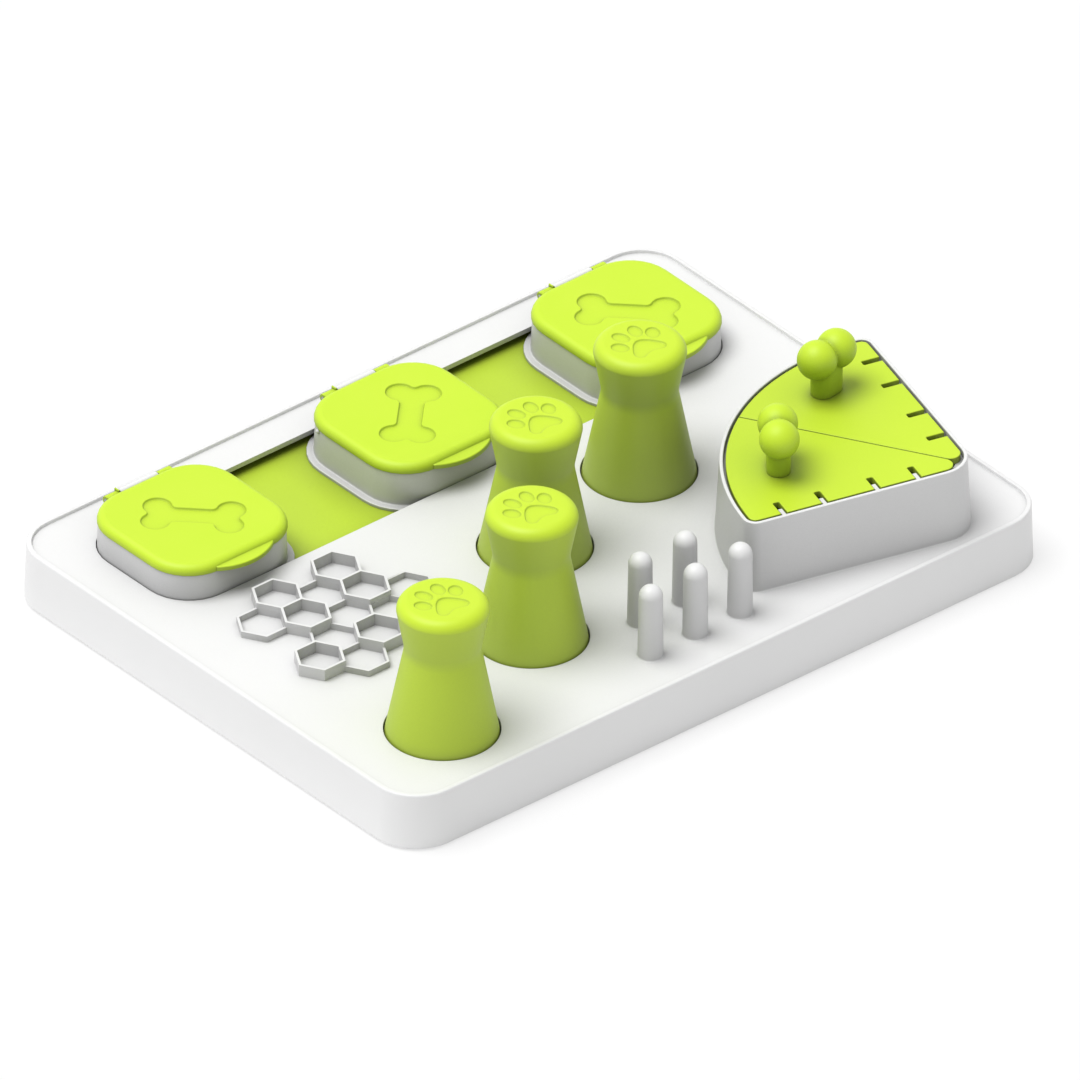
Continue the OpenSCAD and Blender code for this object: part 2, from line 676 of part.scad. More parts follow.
// A generic paw: a pad of three circles and four toes, in shares of its size
module paw() {
    u = paw_size;
    translate([0, -0.26 * u]) circle(0.377 * u);
    for (s = [-1, 1]) translate([s * 0.377 * u, -0.554 * u]) circle(0.308 * u);
    polygon(u * [[-0.63, -0.385], [-0.32, -0.06], [0.32, -0.06], [0.63, -0.385], [0.35, -0.74], [-0.35, -0.74]]);
    for (s = [-1, 1]) {
        toe([s * 0.338 * u, 0.608 * u], s * 8);
        toe([s * 0.785 * u, 0.146 * u], s * 28);
    }
}

// One toe: two overlapping circles joined along the direction lean
module toe(spot, lean) {
    r = 0.254 * paw_size;
    reach = 0.085 * paw_size;
    translate(spot) rotate(-lean) {
        for (s = [-1, 1]) translate([0, s * reach]) circle(r);
        square([2 * r, 2 * reach], center = true);
    }
}

base_board();
bin_wall();
honeycomb();
pegs();
slide_tray();
tray_screws();
feet();
slide_box(-box_pitch);  // left_box
slide_box(0, true);  // middle_box
slide_box(box_pitch);  // right_box
box_lid(-box_pitch, -45);  // left_lid
box_lid(0, 45);  // middle_lid
box_lid(box_pitch, -45);  // right_lid
hinge_pin(-box_pitch);  // left_hinge_pin
hinge_pin(0);  // middle_hinge_pin
hinge_pin(box_pitch);  // right_hinge_pin
cup(cup_spots[0]);  // first_cup
cup(cup_spots[1]);  // second_cup
cup(cup_spots[2]);  // third_cup
cup(cup_spots[3]);  // fourth_cup
sector_lid(true);  // front_sector_lid
sector_lid(false);  // back_sector_lid
knob(true);  // front_knob
knob(false);  // back_knob
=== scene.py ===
"""Looks of a slow feeder puzzle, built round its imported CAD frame.

A shallow white board carries three sliding boxes with lime lids, four lime cups,
a white sector bin with two lime lids, a honeycomb and five pegs. All outlines and
steps below are in millimetres; meshes are made in metres, in the frame of the CAD.
"""

import logging
import math
from dataclasses import dataclass, field
from enum import Enum
from typing import Callable, Sequence

import bmesh
import bpy
from mathutils import Matrix, Vector


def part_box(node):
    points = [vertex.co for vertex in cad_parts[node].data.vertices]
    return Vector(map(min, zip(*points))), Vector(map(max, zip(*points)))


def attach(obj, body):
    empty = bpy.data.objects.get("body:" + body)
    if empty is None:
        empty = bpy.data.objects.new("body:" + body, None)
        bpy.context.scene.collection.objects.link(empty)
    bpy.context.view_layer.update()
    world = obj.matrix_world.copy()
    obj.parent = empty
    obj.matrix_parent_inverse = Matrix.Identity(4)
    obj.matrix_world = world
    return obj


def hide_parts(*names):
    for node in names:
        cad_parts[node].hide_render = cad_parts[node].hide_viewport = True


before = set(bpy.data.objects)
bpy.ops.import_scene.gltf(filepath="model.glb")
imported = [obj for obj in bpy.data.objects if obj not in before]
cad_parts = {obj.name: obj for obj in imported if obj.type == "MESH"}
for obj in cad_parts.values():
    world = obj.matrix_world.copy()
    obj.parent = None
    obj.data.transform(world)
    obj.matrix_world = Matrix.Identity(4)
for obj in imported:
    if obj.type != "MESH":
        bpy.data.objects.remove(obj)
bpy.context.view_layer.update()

LOG = logging.getLogger("slow_feeder")

# One millimetre in metres. Every other length here is in millimetres.
MM = 0.001
# Corners that are closer than the gap are merged, and edges below the angle in degrees are smooth.
MERGE_GAP = 0.002
SMOOTH_ANGLE = 32
# Height above a surface where a cutter starts, and height where its rounded rim begins.
TOOL_START = 1.0
TOOL_RIM = 0.01
# How far a cutter goes past what it cuts through, and how deep a fixed piece is sunk into the deck.
PAST = 1.0
SUNK = 0.05

# Straight stretches in a corner, in a rounded edge, in a small one, and in circles by their size.
ARC_STEPS = 8
ROUND_STEPS = 4
EDGE_STEPS = 3
LARGE_CIRCLE = 128
CIRCLE = 96
ROD_CIRCLE = 64
SMALL_CIRCLE = 48
HOLE_CIRCLE = 32
SCREW_CIRCLE = 24

Point = tuple[float, float]
Outline = list[Point]
Step = tuple[float, float]
Linkable = bpy.types.NodeSocket


class Start(Enum):
    """Which way a rounded edge runs where it begins."""

    WALL = "wall"
    FLAT = "flat"


class Join(Enum):
    """How one solid is combined with another."""

    ADD = "UNION"
    CUT = "DIFFERENCE"


class Side(Enum):
    """The two halves of the sector bin, named by the wall that they lie along."""

    FRONT = "front"
    BACK = "back"


# Outlines


def arc(centre: Point, radius: float, start: float, end: float, steps: int = ARC_STEPS) -> Outline:
    """Points along an arc.

    Args:
        centre: The arc's centre.
        radius: Its radius.
        start: Angle of the first point in degrees.
        end: Angle of the last point in degrees.
        steps: Number of straight stretches.

    Returns:
        The points from start to end.
    """
    angles = [math.radians(start + (end - start) * i / steps) for i in range(steps + 1)]
    return [(centre[0] + radius * math.cos(a), centre[1] + radius * math.sin(a)) for a in angles]


def circle(centre: Point, radius: float, steps: int = CIRCLE) -> Outline:
    """A full circle of the given radius, without its first point repeated."""
    return arc(centre, radius, 0, 360, steps)[:-1]


def ellipse(centre: Point, across: float, along: float, lean: float, steps: int = 40) -> Outline:
    """An ellipse whose long half axis, along, leans clockwise from +Y by lean degrees."""
    flat = [(across * x, along * y) for x, y in circle((0, 0), 1, steps)]
    return placed(flat, -lean, centre)


def rounded_rectangle(centre: Point, half_x: float, half_y: float, radius: float) -> Outline:
    """A rectangle with round corners.

    Args:
        centre: Its middle.
        half_x: Half its size along X.
        half_y: Half its size along Y.
        radius: Radius of its corners.

    Returns:
        Its outline, anticlockwise.
    """
    points: Outline = []
    for sign_x, sign_y, start in ((1, 1, 0), (-1, 1, 90), (-1, -1, 180), (1, -1, 270)):
        corner = (centre[0] + sign_x * (half_x - radius), centre[1] + sign_y * (half_y - radius))
        points += arc(corner, radius, start, start + 90)
    return points


def placed(outline: Outline, turn: float, spot: Point) -> Outline:
    """The outline turned by turn degrees about the origin and then moved to spot."""
    c, s = math.cos(math.radians(turn)), math.sin(math.radians(turn))
    return [(spot[0] + c * x - s * y, spot[1] + s * x + c * y) for x, y in outline]


def closed_curve(points: Sequence[Point], steps: int = 5) -> Outline:
    """A smooth closed curve through a few points.

    Args:
        points: The points, anticlockwise.
        steps: Number of straight stretches between two points.

    Returns:
        The curve's outline.
    """
    curve: Outline = []
    count = len(points)
    for i in range(count):
        p, q, r, s = (points[(i + k) % count] for k in (-1, 0, 1, 2))
        for k in range(steps):
            t = k / steps
            weights = (
                (-t + 2 * t**2 - t**3) / 2,
                (2 - 5 * t**2 + 3 * t**3) / 2,
                (t + 4 * t**2 - 3 * t**3) / 2,
                (t**3 - t**2) / 2,
            )
            curve.append(tuple(sum(w * v[axis] for w, v in zip(weights, (p, q, r, s))) for axis in (0, 1)))
    return curve


def bend(radius: float, up: int, start: Start, steps: int = ROUND_STEPS) -> list[Step]:
    """Steps of a rounded edge between a wall and a flat.

    Args:
        radius: The edge's radius.
        up: 1 where it climbs, -1 where it goes down.
        start: Whether it leaves a wall or a flat.
        steps: Number of straight stretches.

    Returns:
        Pairs of a move inwards and a move upwards.
    """
    angles = [math.radians(90 * i / steps) for i in range(steps + 1)]
    if start is Start.WALL:
        path = [(1 - math.cos(a), math.sin(a)) for a in angles]
    else:
        path = [(math.sin(a), 1 - math.cos(a)) for a in angles]
    return [(radius * (q[0] - p[0]), up * radius * (q[1] - p[1])) for p, q in zip(path, path[1:])]


# Modelling


def deselect_all() -> None:
    """Leaves edit mode and deselects every object, so that only what comes next is selected."""
    if bpy.context.object is not None and bpy.context.object.mode != "OBJECT":
        bpy.ops.object.mode_set(mode="OBJECT")
    bpy.ops.object.select_all(action="DESELECT")


def activate(piece: bpy.types.Object) -> None:
    """Makes a piece the active one and the only one selected.

    Args:
        piece: The piece.
    """
    deselect_all()
    piece.select_set(True)
    bpy.context.view_layer.objects.active = piece


def apply_modifier(piece: bpy.types.Object, kind: str, settings: dict[str, object]) -> None:
    """Gives the active piece a modifier and applies it.

    Args:
        piece: The piece, which is the active one.
        kind: The modifier's type.
        settings: Its own properties.
    """
    modifier = piece.modifiers.new(kind.lower(), kind)
    for key, value in settings.items():
        setattr(modifier, key, value)
    bpy.ops.object.modifier_apply(modifier=modifier.name)


def select_open_edges() -> None:
    """Selects the open edges of the piece in edit mode, and nothing else."""
    bpy.ops.mesh.select_mode(type="EDGE")
    bpy.ops.mesh.select_all(action="DESELECT")
    bpy.ops.mesh.select_non_manifold(extend=False, use_wire=False, use_multi_face=False,
                                     use_non_contiguous=False, use_verts=False)


def plate(name: str, outline: Outline, height: float) -> bpy.types.Object:
    """A flat face, made from a filled circle whose corners are moved onto an outline.

    Args:
        name: Name of the new piece.
        outline: Its outline in millimetres, anticlockwise.
        height: Its height in millimetres.

    Returns:
        The new piece, with its face selected.
    """
    deselect_all()
    bpy.ops.mesh.primitive_circle_add(vertices=len(outline), radius=1, fill_type="NGON", location=(0, 0, 0))
    piece = bpy.context.object
    piece.name = name
    for vertex, (x, y) in zip(piece.data.vertices, outline):
        vertex.co = (x * MM, y * MM, height * MM)
    piece.data.update()
    return piece


def raise_cap(piece: bpy.types.Object, steps: Sequence[Step]) -> None:
    """Moves the selected cap through steps, which leaves walls, flats and rounded edges behind.

    Args:
        piece: The piece whose cap is selected.
        steps: Pairs of a move inwards and a move upwards, in millimetres.
    """
    activate(piece)
    caps = [f for f in piece.data.polygons if f.select]
    facing = 1 if sum(f.normal.z for f in caps) > 0 else -1
    bpy.ops.object.mode_set(mode="EDIT")
    bpy.ops.mesh.select_mode(type="FACE")
    for inward, up in steps:
        if inward > 0:
            bpy.ops.mesh.inset(thickness=inward * MM, depth=up * facing * MM, use_even_offset=True)
        else:
            bpy.ops.mesh.extrude_region_move(TRANSFORM_OT_translate={"value": (0, 0, up * MM)})
    bpy.ops.object.mode_set(mode="OBJECT")


def close_opening(piece: bpy.types.Object) -> None:
    """Closes the side that the piece was started from and leaves that face selected, facing outwards.

    A first step inwards leaves that side open; a first step straight up keeps the starting face.

    Args:
        piece: The piece, with its moved cap selected.
    """
    activate(piece)
    bpy.ops.object.mode_set(mode="EDIT")
    mesh = bmesh.from_edit_mesh(piece.data)
    cap_height = next(f for f in mesh.faces if f.select).calc_center_median().z
    if any(e.is_boundary for e in mesh.edges):
        select_open_edges()
        bpy.ops.mesh.edge_face_add()
        bpy.ops.mesh.select_mode(type="FACE")
        mesh = bmesh.from_edit_mesh(piece.data)
        start = next(f for f in mesh.faces if f.select)
    else:
        bpy.ops.mesh.select_all(action="DESELECT")
        sides = max(len(f.verts) for f in mesh.faces)
        start = max((f for f in mesh.faces if len(f.verts) == sides),
                    key=lambda f: abs(f.calc_center_median().z - cap_height))
        start.select = True
    if (start.normal.z > 0) != (start.calc_center_median().z > cap_height):
        start.normal_flip()
    bmesh.update_edit_mesh(piece.data)
    bpy.ops.object.mode_set(mode="OBJECT")


def face_outwards(piece: bpy.types.Object) -> None:
    """Merges the piece's doubled corners and turns its faces outwards.

    Args:
        piece: The piece.
    """
    activate(piece)
    bpy.ops.object.mode_set(mode="EDIT")
    bpy.ops.mesh.select_all(action="SELECT")
    bpy.ops.mesh.remove_doubles(threshold=MERGE_GAP * MM)
    bpy.ops.mesh.normals_make_consistent(inside=False)
    bpy.ops.object.mode_set(mode="OBJECT")


def solid(name: str, outline: Outline, height: float, steps: Sequence[Step]) -> bpy.types.Object:
    """A closed solid that starts as a plate and is raised or sunk through steps.

    Args:
        name: Name of the new piece.
        outline: The first face's outline in millimetres, anticlockwise.
        height: The first face's height in millimetres.
        steps: Pairs of a move inwards and a move upwards, in millimetres.

    Returns:
        The closed piece.
    """
    piece = plate(name, outline, height)
    raise_cap(piece, steps)
    close_opening(piece)
    face_outwards(piece)
    return piece


def turned_solid(name: str, profile: Sequence[Point], steps: int = CIRCLE) -> bpy.types.Object:
    """A solid spun about the Z axis.

    Args:
        name: Name of the new piece.
        profile: Radius and height of each point, from one end on the axis to the other.
        steps: Number of facets round the axis.

    Returns:
        The closed piece.
    """
    deselect_all()
    bpy.ops.mesh.primitive_circle_add(vertices=len(profile), radius=1, fill_type="NOTHING",
                                      location=(0, 0, 0))
    piece = bpy.context.object
    piece.name = name
    for vertex, (radius, height) in zip(piece.data.vertices, profile):
        vertex.co = (radius * MM, 0, height * MM)
    for edge in piece.data.edges:
        edge.select = abs(edge.vertices[0] - edge.vertices[1]) > 1
    for vertex in piece.data.vertices:
        vertex.select = False
    bpy.ops.object.mode_set(mode="EDIT")
    bpy.ops.mesh.select_mode(type="EDGE")
    if len(profile) > 2:
        bpy.ops.mesh.delete(type="EDGE")
    bpy.ops.mesh.select_all(action="SELECT")
    bpy.ops.mesh.spin(steps=steps, angle=2 * math.pi, center=(0, 0, 0), axis=(0, 0, 1))
    bpy.ops.object.mode_set(mode="OBJECT")
    face_outwards(piece)
    return piece


def rod(name: str, radius: float, start: Vector, length: float, edge: float = 0.0) -> bpy.types.Object:
    """A round bar along +X.

    Args:
        name: Name of the new piece.
        radius: Its radius in millimetres.
        start: The middle of its first end in millimetres.
        length: Its length in millimetres.
        edge: Size of the bevel at both ends.

    Returns:
        The bar, with its place in its mesh.
    """
    deselect_all()
    bpy.ops.mesh.primitive_cylinder_add(
        vertices=ROD_CIRCLE, radius=radius * MM, depth=length * MM,
        location=(start + Vector((length / 2, 0, 0))) * MM, rotation=(0, math.pi / 2, 0))
    piece = bpy.context.object
    piece.name = name
    bpy.ops.object.transform_apply(location=True, rotation=True, scale=True)
    if edge > 0:
        bpy.ops.object.mode_set(mode="EDIT")
        bpy.ops.mesh.select_all(action="DESELECT")
        bpy.ops.mesh.select_face_by_sides(number=4, type="GREATER")
        bpy.ops.mesh.bevel(offset=edge * MM, segments=2, affect="EDGES")
        bpy.ops.object.mode_set(mode="OBJECT")
    return piece


def ball(radius: float, centre: tuple[float, float, float], segments: int) -> bpy.types.Object:
    """A ball.

    Args:
        radius: Its radius in millimetres.
        centre: Its middle in millimetres.
        segments: Number of facets round its equator, twice as many as from pole to pole.

    Returns:
        The ball, with its place in its mesh.
    """
    deselect_all()
    bpy.ops.mesh.primitive_uv_sphere_add(segments=segments, ring_count=segments // 2,
                                         radius=radius * MM, location=[c * MM for c in centre])
    bpy.ops.object.transform_apply(location=True, rotation=True, scale=True)
    return bpy.context.object


def joined(pieces: Sequence[bpy.types.Object], name: str) -> bpy.types.Object:
    """Joins pieces into one object under a new name.

    Args:
        pieces: The pieces. The first one keeps its place and takes in the others.
        name: The new name.

    Returns:
        The joined piece.
    """
    activate(pieces[0])
    for piece in pieces:
        piece.select_set(True)
    if len(pieces) > 1:
        bpy.ops.object.join()
    pieces[0].name = name
    return pieces[0]


def copy_of(piece: bpy.types.Object, name: str, turn: float = 0.0,
            spot: Vector = Vector()) -> bpy.types.Object:
    """A copy of a piece with a mesh of its own.

    Args:
        piece: The piece to copy.
        name: Name of the copy.
        turn: Turn about Z in degrees.
        spot: Where the copy's origin goes, in millimetres.

    Returns:
        The copy, with its place in its mesh.
    """
    copy = piece.copy()
    copy.data = piece.data.copy()
    copy.name = name
    copy.data.transform(Matrix.Translation(spot * MM) @ Matrix.Rotation(math.radians(turn), 4, "Z"))
    bpy.context.scene.collection.objects.link(copy)
    return copy


def combine(piece: bpy.types.Object, tools: Sequence[bpy.types.Object], how: Join) -> None:
    """Adds solids to a piece or cuts them out of it, and removes them.

    Args:
        piece: The closed piece that is changed.
        tools: The closed solids, which don't touch each other.
        how: Whether they are added or cut out.
    """
    tool = joined(list(tools), "tool")
    activate(piece)
    apply_modifier(piece, "BOOLEAN", {"operation": how.value, "solver": "MANIFOLD", "object": tool})
    bpy.data.objects.remove(tool)


def recess_tool(grown: Callable[[float], Outline], surface: float, depth: float,
                lip: float, floor: float) -> bpy.types.Object:
    """A cutter for a recess with a rounded rim and a rounded floor.

    Args:
        grown: Gives the recess's outline, grown by a distance.
        surface: Height of the surface that it is cut into.
        depth: Depth of the recess.
        lip: Radius of its rim.
        floor: Radius where its wall meets its floor.

    Returns:
        The cutter.
    """
    steps = [(0.0, TOOL_RIM - TOOL_START), *bend(lip, -1, Start.FLAT),
             (0.0, lip + floor - depth - TOOL_RIM), *bend(floor, -1, Start.WALL)]
    return solid("recess", grown(lip), surface + TOOL_START, steps)


def soft_recess(grown: Callable[[float], Outline], surface: float, depth: float,
                width: float) -> bpy.types.Object:
    """A cutter for a shallow figure whose sides slope down softly.

    Args:
        grown: Gives the figure's outline, grown by a distance.
        surface: Height of the surface that it is cut into.
        depth: Depth of the figure.
        width: Width of its sloping side, which has its middle on the outline.

    Returns:
        The cutter.
    """
    stretches = 6
    shares = [i / stretches for i in range(stretches + 1)]
    levels = [(TOOL_RIM + depth) * t * t * (3 - 2 * t) for t in shares]
    steps = [(0.0, TOOL_RIM - TOOL_START),
             *[(width / stretches, a - b) for a, b in zip(levels, levels[1:])]]
    return solid("figure", grown(width / 2), surface + TOOL_START, steps)


def finish_surface(piece: bpy.types.Object) -> bpy.types.Object:
    """Shades a piece smoothly across its rounded edges and flat on its flats.

    Args:
        piece: The piece.

    Returns:
        The same piece.
    """
    face_outwards(piece)
    bpy.ops.object.shade_smooth_by_angle(angle=math.radians(SMOOTH_ANGLE))
    apply_modifier(piece, "WEIGHTED_NORMAL", {"keep_sharp": True})
    return piece


def middle_of(node: str) -> Point:
    """The middle of a CAD node seen from above, in millimetres."""
    low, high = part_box(node)
    return ((low.x + high.x) / 2 / MM, (low.y + high.y) / 2 / MM)


# Finishes


def linear(code: str) -> tuple[float, float, float, float]:
    """Turns an sRGB hex colour into linear red, green, blue and alpha."""
    channels = [int(code[i:i + 2], 16) / 255 for i in (1, 3, 5)]
    return (*[c / 12.92 if c <= 0.04045 else ((c + 0.055) / 1.055) ** 2.4 for c in channels], 1.0)


def add_node(tree: bpy.types.NodeTree, kind: str, settings: dict[str, object] | None = None,
             inputs: dict[str | int, object] | None = None) -> bpy.types.Node:
    """Adds a node with its settings, values and links.

    Args:
        tree: The node tree.
        kind: The node's type.
        settings: Its own properties.
        inputs: Its sockets by name or place, each with a value or a socket to link.

    Returns:
        The new node.
    """
    node = tree.nodes.new(kind)
    for key, value in (settings or {}).items():
        setattr(node, key, value)
    for key, value in (inputs or {}).items():
        if isinstance(value, Linkable):
            tree.links.new(value, node.inputs[key])
        else:
            node.inputs[key].default_value = value
    return node


def new_material(name: str) -> tuple[bpy.types.Material, bpy.types.NodeTree]:
    """An empty node material and its tree.

    Args:
        name: Its name.

    Returns:
        The material and its node tree.
    """
    material = bpy.data.materials.new(name)
    material.use_nodes = True
    material.node_tree.nodes.clear()
    return material, material.node_tree


@dataclass(frozen=True)
class MouldedPlastic:
    """Injection moulded plastic: an even colour, a satin skin and the fine grain of its mould.

    The grain breaks up reflections a little, and slow changes of tone and gloss over some
    centimetres keep large faces from looking drawn. Shade is also painted into the colour:
    where ambient occlusion finds neighbours, the colour is mixed towards a dark painted shade,
    softly beside walls and sharply in creases, so that recesses and feet read.
    """

    name: str
    colour: str
    shade: str
    # The dark colour that painted shade mixes into the colour.
    painted_shade_colour: str
    roughness: float
    # Painted shade beside walls: occlusion within this reach, raised to this power, darkens the colour.
    painted_shade_reach_mm: float
    painted_shade_power: float
    # Painted shade in creases: the same over the short reach below.
    painted_crease_power: float
    # Box in which painted shade falls on every face; elsewhere only faces that look up get it.
    painted_shade_box_mm: tuple[tuple[float, float, float], tuple[float, float, float]] | None = None
    # How far a face must look up, between these shares, to get painted shade outside the box.
    upward: Point = (0.3, 0.8)
    painted_crease_mm: float = 3.0
    shade_samples: int = 8
    ior: float = 1.5
    # A mould's real grain is 0.05 to 0.1 mm wide: it is drawn coarser, so that it shows.
    grain_mm: float = 0.6
    grain_depth_mm: float = 0.012
    grain_strength: float = 0.5
    drift_mm: float = 45.0
    drift_range: Point = (0.3, 0.7)
    gloss_drift: float = 0.04

    def painted_shade_share(self, tree: bpy.types.NodeTree, place: Linkable, normal: Linkable) -> Linkable:
        """How open the surface is: 1 in the open, less beside walls and in creases.

        Args:
            tree: The material's node tree.
            place: The point on the piece.
            normal: The surface's direction there.

        Returns:
            A socket with a share from 0 to 1.
        """
        # The share below sets how much painted shade the colour gets.
        shares = []
        for reach, power in ((self.painted_shade_reach_mm, self.painted_shade_power), (self.painted_crease_mm, self.painted_crease_power)):
            seen = add_node(tree, "ShaderNodeAmbientOcclusion", {"samples": self.shade_samples},
                            {"Distance": reach * MM})
            shares.append(add_node(tree, "ShaderNodeMath", {"operation": "POWER"},
                                   {0: seen.outputs["AO"], 1: power}).outputs[0])
        if self.painted_shade_box_mm is not None:
            shares[0] = self.painted_shade_masked(tree, place, normal, shares[0])
        return add_node(tree, "ShaderNodeMath", {"operation": "MULTIPLY"},
                        {0: shares[0], 1: shares[1]}).outputs[0]

    def painted_shade_masked(self, tree: bpy.types.NodeTree, place: Linkable, normal: Linkable,
                       share: Linkable) -> Linkable:
        """Keeps a share to the faces that look up and to all faces inside a box, and gives 1 elsewhere.

        Args:
            tree: The material's node tree.
            place: The point on the piece.
            normal: The surface's direction there.
            share: The share.

        Returns:
            A socket with the share, or 1.
        """
        # Painted shade is kept on faces that look up and on all faces inside the box.
        axes = add_node(tree, "ShaderNodeSeparateXYZ", {}, {"Vector": place})
        inside: Linkable | float = 1.0
        for axis, low, high in zip("XYZ", *self.painted_shade_box_mm):
            within = add_node(tree, "ShaderNodeMath", {"operation": "COMPARE"},
                              {0: axes.outputs[axis], 1: (low + high) / 2 * MM, 2: (high - low) / 2 * MM})
            inside = add_node(tree, "ShaderNodeMath", {"operation": "MULTIPLY"},
                              {0: within.outputs[0], 1: inside}).outputs[0]
        upwards = add_node(tree, "ShaderNodeSeparateXYZ", {}, {"Vector": normal}).outputs["Z"]
        acting = add_node(tree, "ShaderNodeMath", {"operation": "MAXIMUM"}, {0: upwards, 1: inside})
        return add_node(tree, "ShaderNodeMapRange", {"interpolation_type": "SMOOTHSTEP"},
                        {"Value": acting.outputs[0], "From Min": self.upward[0], "From Max": self.upward[1],
                         "To Min": 1.0, "To Max": share}).outputs[0]

    def make(self) -> bpy.types.Material:
        """Builds the material.

        Returns:
            The material.
        """
        material, tree = new_material(self.name)
        where = add_node(tree, "ShaderNodeTexCoord")
        place = where.outputs["Object"]
        grain = add_node(tree, "ShaderNodeTexNoise", {},
                         {"Vector": place, "Scale": 1 / (self.grain_mm * MM),
                          "Detail": 2.0, "Roughness": 0.6})
        drift = add_node(tree, "ShaderNodeTexNoise", {},
                         {"Vector": place, "Scale": 1 / (self.drift_mm * MM),
                          "Detail": 3.0, "Roughness": 0.5})
        colour = add_node(tree, "ShaderNodeMix", {"data_type": "RGBA"},
                          {0: drift.outputs["Fac"], 6: linear(self.colour), 7: linear(self.shade)})
        # Painted shade: the colour is mixed towards the dark painted shade colour where the share is low.
        shaded = add_node(tree, "ShaderNodeMix", {"data_type": "RGBA"},
                          {0: self.painted_shade_share(tree, place, where.outputs["Normal"]),
                           6: linear(self.painted_shade_colour), 7: colour.outputs[2]})
        gloss = add_node(tree, "ShaderNodeMapRange", {},
                         {"Value": drift.outputs["Fac"],
                          "From Min": self.drift_range[0], "From Max": self.drift_range[1],
                          "To Min": self.roughness - self.gloss_drift,
                          "To Max": self.roughness + self.gloss_drift})
        bump = add_node(tree, "ShaderNodeBump", {},
                        {"Height": grain.outputs["Fac"], "Strength": self.grain_strength,
                         "Distance": self.grain_depth_mm * MM})
        shader = add_node(tree, "ShaderNodeBsdfPrincipled", {},
                          {"Base Color": shaded.outputs[2], "Roughness": gloss.outputs["Result"],
                           "IOR": self.ior, "Normal": bump.outputs["Normal"]})
        add_node(tree, "ShaderNodeOutputMaterial", {}, {"Surface": shader.outputs["BSDF"]})
        return material


@dataclass(frozen=True)
class MouldedRubber:
    """Moulded elastomer of a foot: nearly black, matt and slightly pebbled."""

    name: str = "moulded_elastomer"
    colour: str = "#3A3A3C"
    dust: str = "#4C4C4D"
    roughness: float = 0.75
    # The pebbles of a moulded foot are about 0.3 mm wide: they are drawn coarser, so that they show.
    pebble_mm: float = 1.2
    pebble_depth_mm: float = 0.05
    pebble_strength: float = 0.6

    def make(self) -> bpy.types.Material:
        """Builds the material.

        Returns:
            The material.
        """
        material, tree = new_material(self.name)
        place = add_node(tree, "ShaderNodeTexCoord").outputs["Object"]
        pebble = add_node(tree, "ShaderNodeTexNoise", {},
                          {"Vector": place, "Scale": 1 / (self.pebble_mm * MM), "Detail": 4.0})
        colour = add_node(tree, "ShaderNodeMix", {"data_type": "RGBA"},
                          {0: pebble.outputs["Fac"], 6: linear(self.colour), 7: linear(self.dust)})
        bump = add_node(tree, "ShaderNodeBump", {},
                        {"Height": pebble.outputs["Fac"], "Strength": self.pebble_strength,
                         "Distance": self.pebble_depth_mm * MM})
        shader = add_node(tree, "ShaderNodeBsdfPrincipled", {},
                          {"Base Color": colour.outputs[2], "Roughness": self.roughness,
                           "Normal": bump.outputs["Normal"]})
        add_node(tree, "ShaderNodeOutputMaterial", {}, {"Surface": shader.outputs["BSDF"]})
        return material


@dataclass(frozen=True)
class PlatedSteel:
    """Zinc plated steel of screws and pins: grey, satin, with faint cloudy patches."""

    name: str = "zinc_plated_steel"
    colour: str = "#B9BBBE"
    cloud: str = "#A6A9AD"
    roughness: float = 0.34
    cloud_mm: float = 1.5

    def make(self) -> bpy.types.Material:
        """Builds the material.

        Returns:
            The material.
        """
        material, tree = new_material(self.name)
        place = add_node(tree, "ShaderNodeTexCoord").outputs["Object"]
        cloud = add_node(tree, "ShaderNodeTexNoise", {},
                         {"Vector": place, "Scale": 1 / (self.cloud_mm * MM), "Detail": 3.0})
        colour = add_node(tree, "ShaderNodeMix", {"data_type": "RGBA"},
                          {0: cloud.outputs["Fac"], 6: linear(self.colour), 7: linear(self.cloud)})
        shader = add_node(tree, "ShaderNodeBsdfPrincipled", {},
                          {"Base Color": colour.outputs[2], "Metallic": 1.0, "Roughness": self.roughness})
        add_node(tree, "ShaderNodeOutputMaterial", {}, {"Surface": shader.outputs["BSDF"]})
        return material


Finish = MouldedPlastic | MouldedRubber | PlatedSteel

# White ABS of the board, injection moulded: bright, satin, with painted shade on its deck beside what
# stands on it.
BOARD_ABS = MouldedPlastic("white_board_abs", "#F3F3F3", "#EFEFEF", "#6A6A6A", 0.45,
                           painted_shade_reach_mm=250.0, painted_shade_power=0.45, painted_crease_power=0.2,
                           painted_shade_box_mm=((-190.0, 40.0, 22.0), (190.0, 140.0, 32.0)))
# White ABS of the boxes, injection moulded: bright and satin, with strong painted shade on its walls under
# the lids.
WHITE_ABS = MouldedPlastic("white_moulded_abs", "#F3F3F3", "#EFEFEF", "#747475", 0.45,
                           painted_shade_reach_mm=60.0, painted_shade_power=1.05, painted_crease_power=0.25)
# White ABS of the bin, the pegs and the honeycomb, injection moulded: satin, with a paler painted shade.
FIGURE_ABS = MouldedPlastic("white_figure_abs", "#F1F1F1", "#EDEDED", "#858585", 0.45,
                            painted_shade_reach_mm=250.0, painted_shade_power=0.7, painted_crease_power=0.08)
# Lime ABS of the box lids and the knobs, injection moulded: a loud yellow green, with painted shade in its
# recesses.
LIME_ABS = MouldedPlastic("lime_moulded_abs", "#D0EC31", "#C8EA2B", "#66721E", 0.5,
                          painted_shade_reach_mm=60.0, painted_shade_power=1.7, painted_crease_power=0.55)
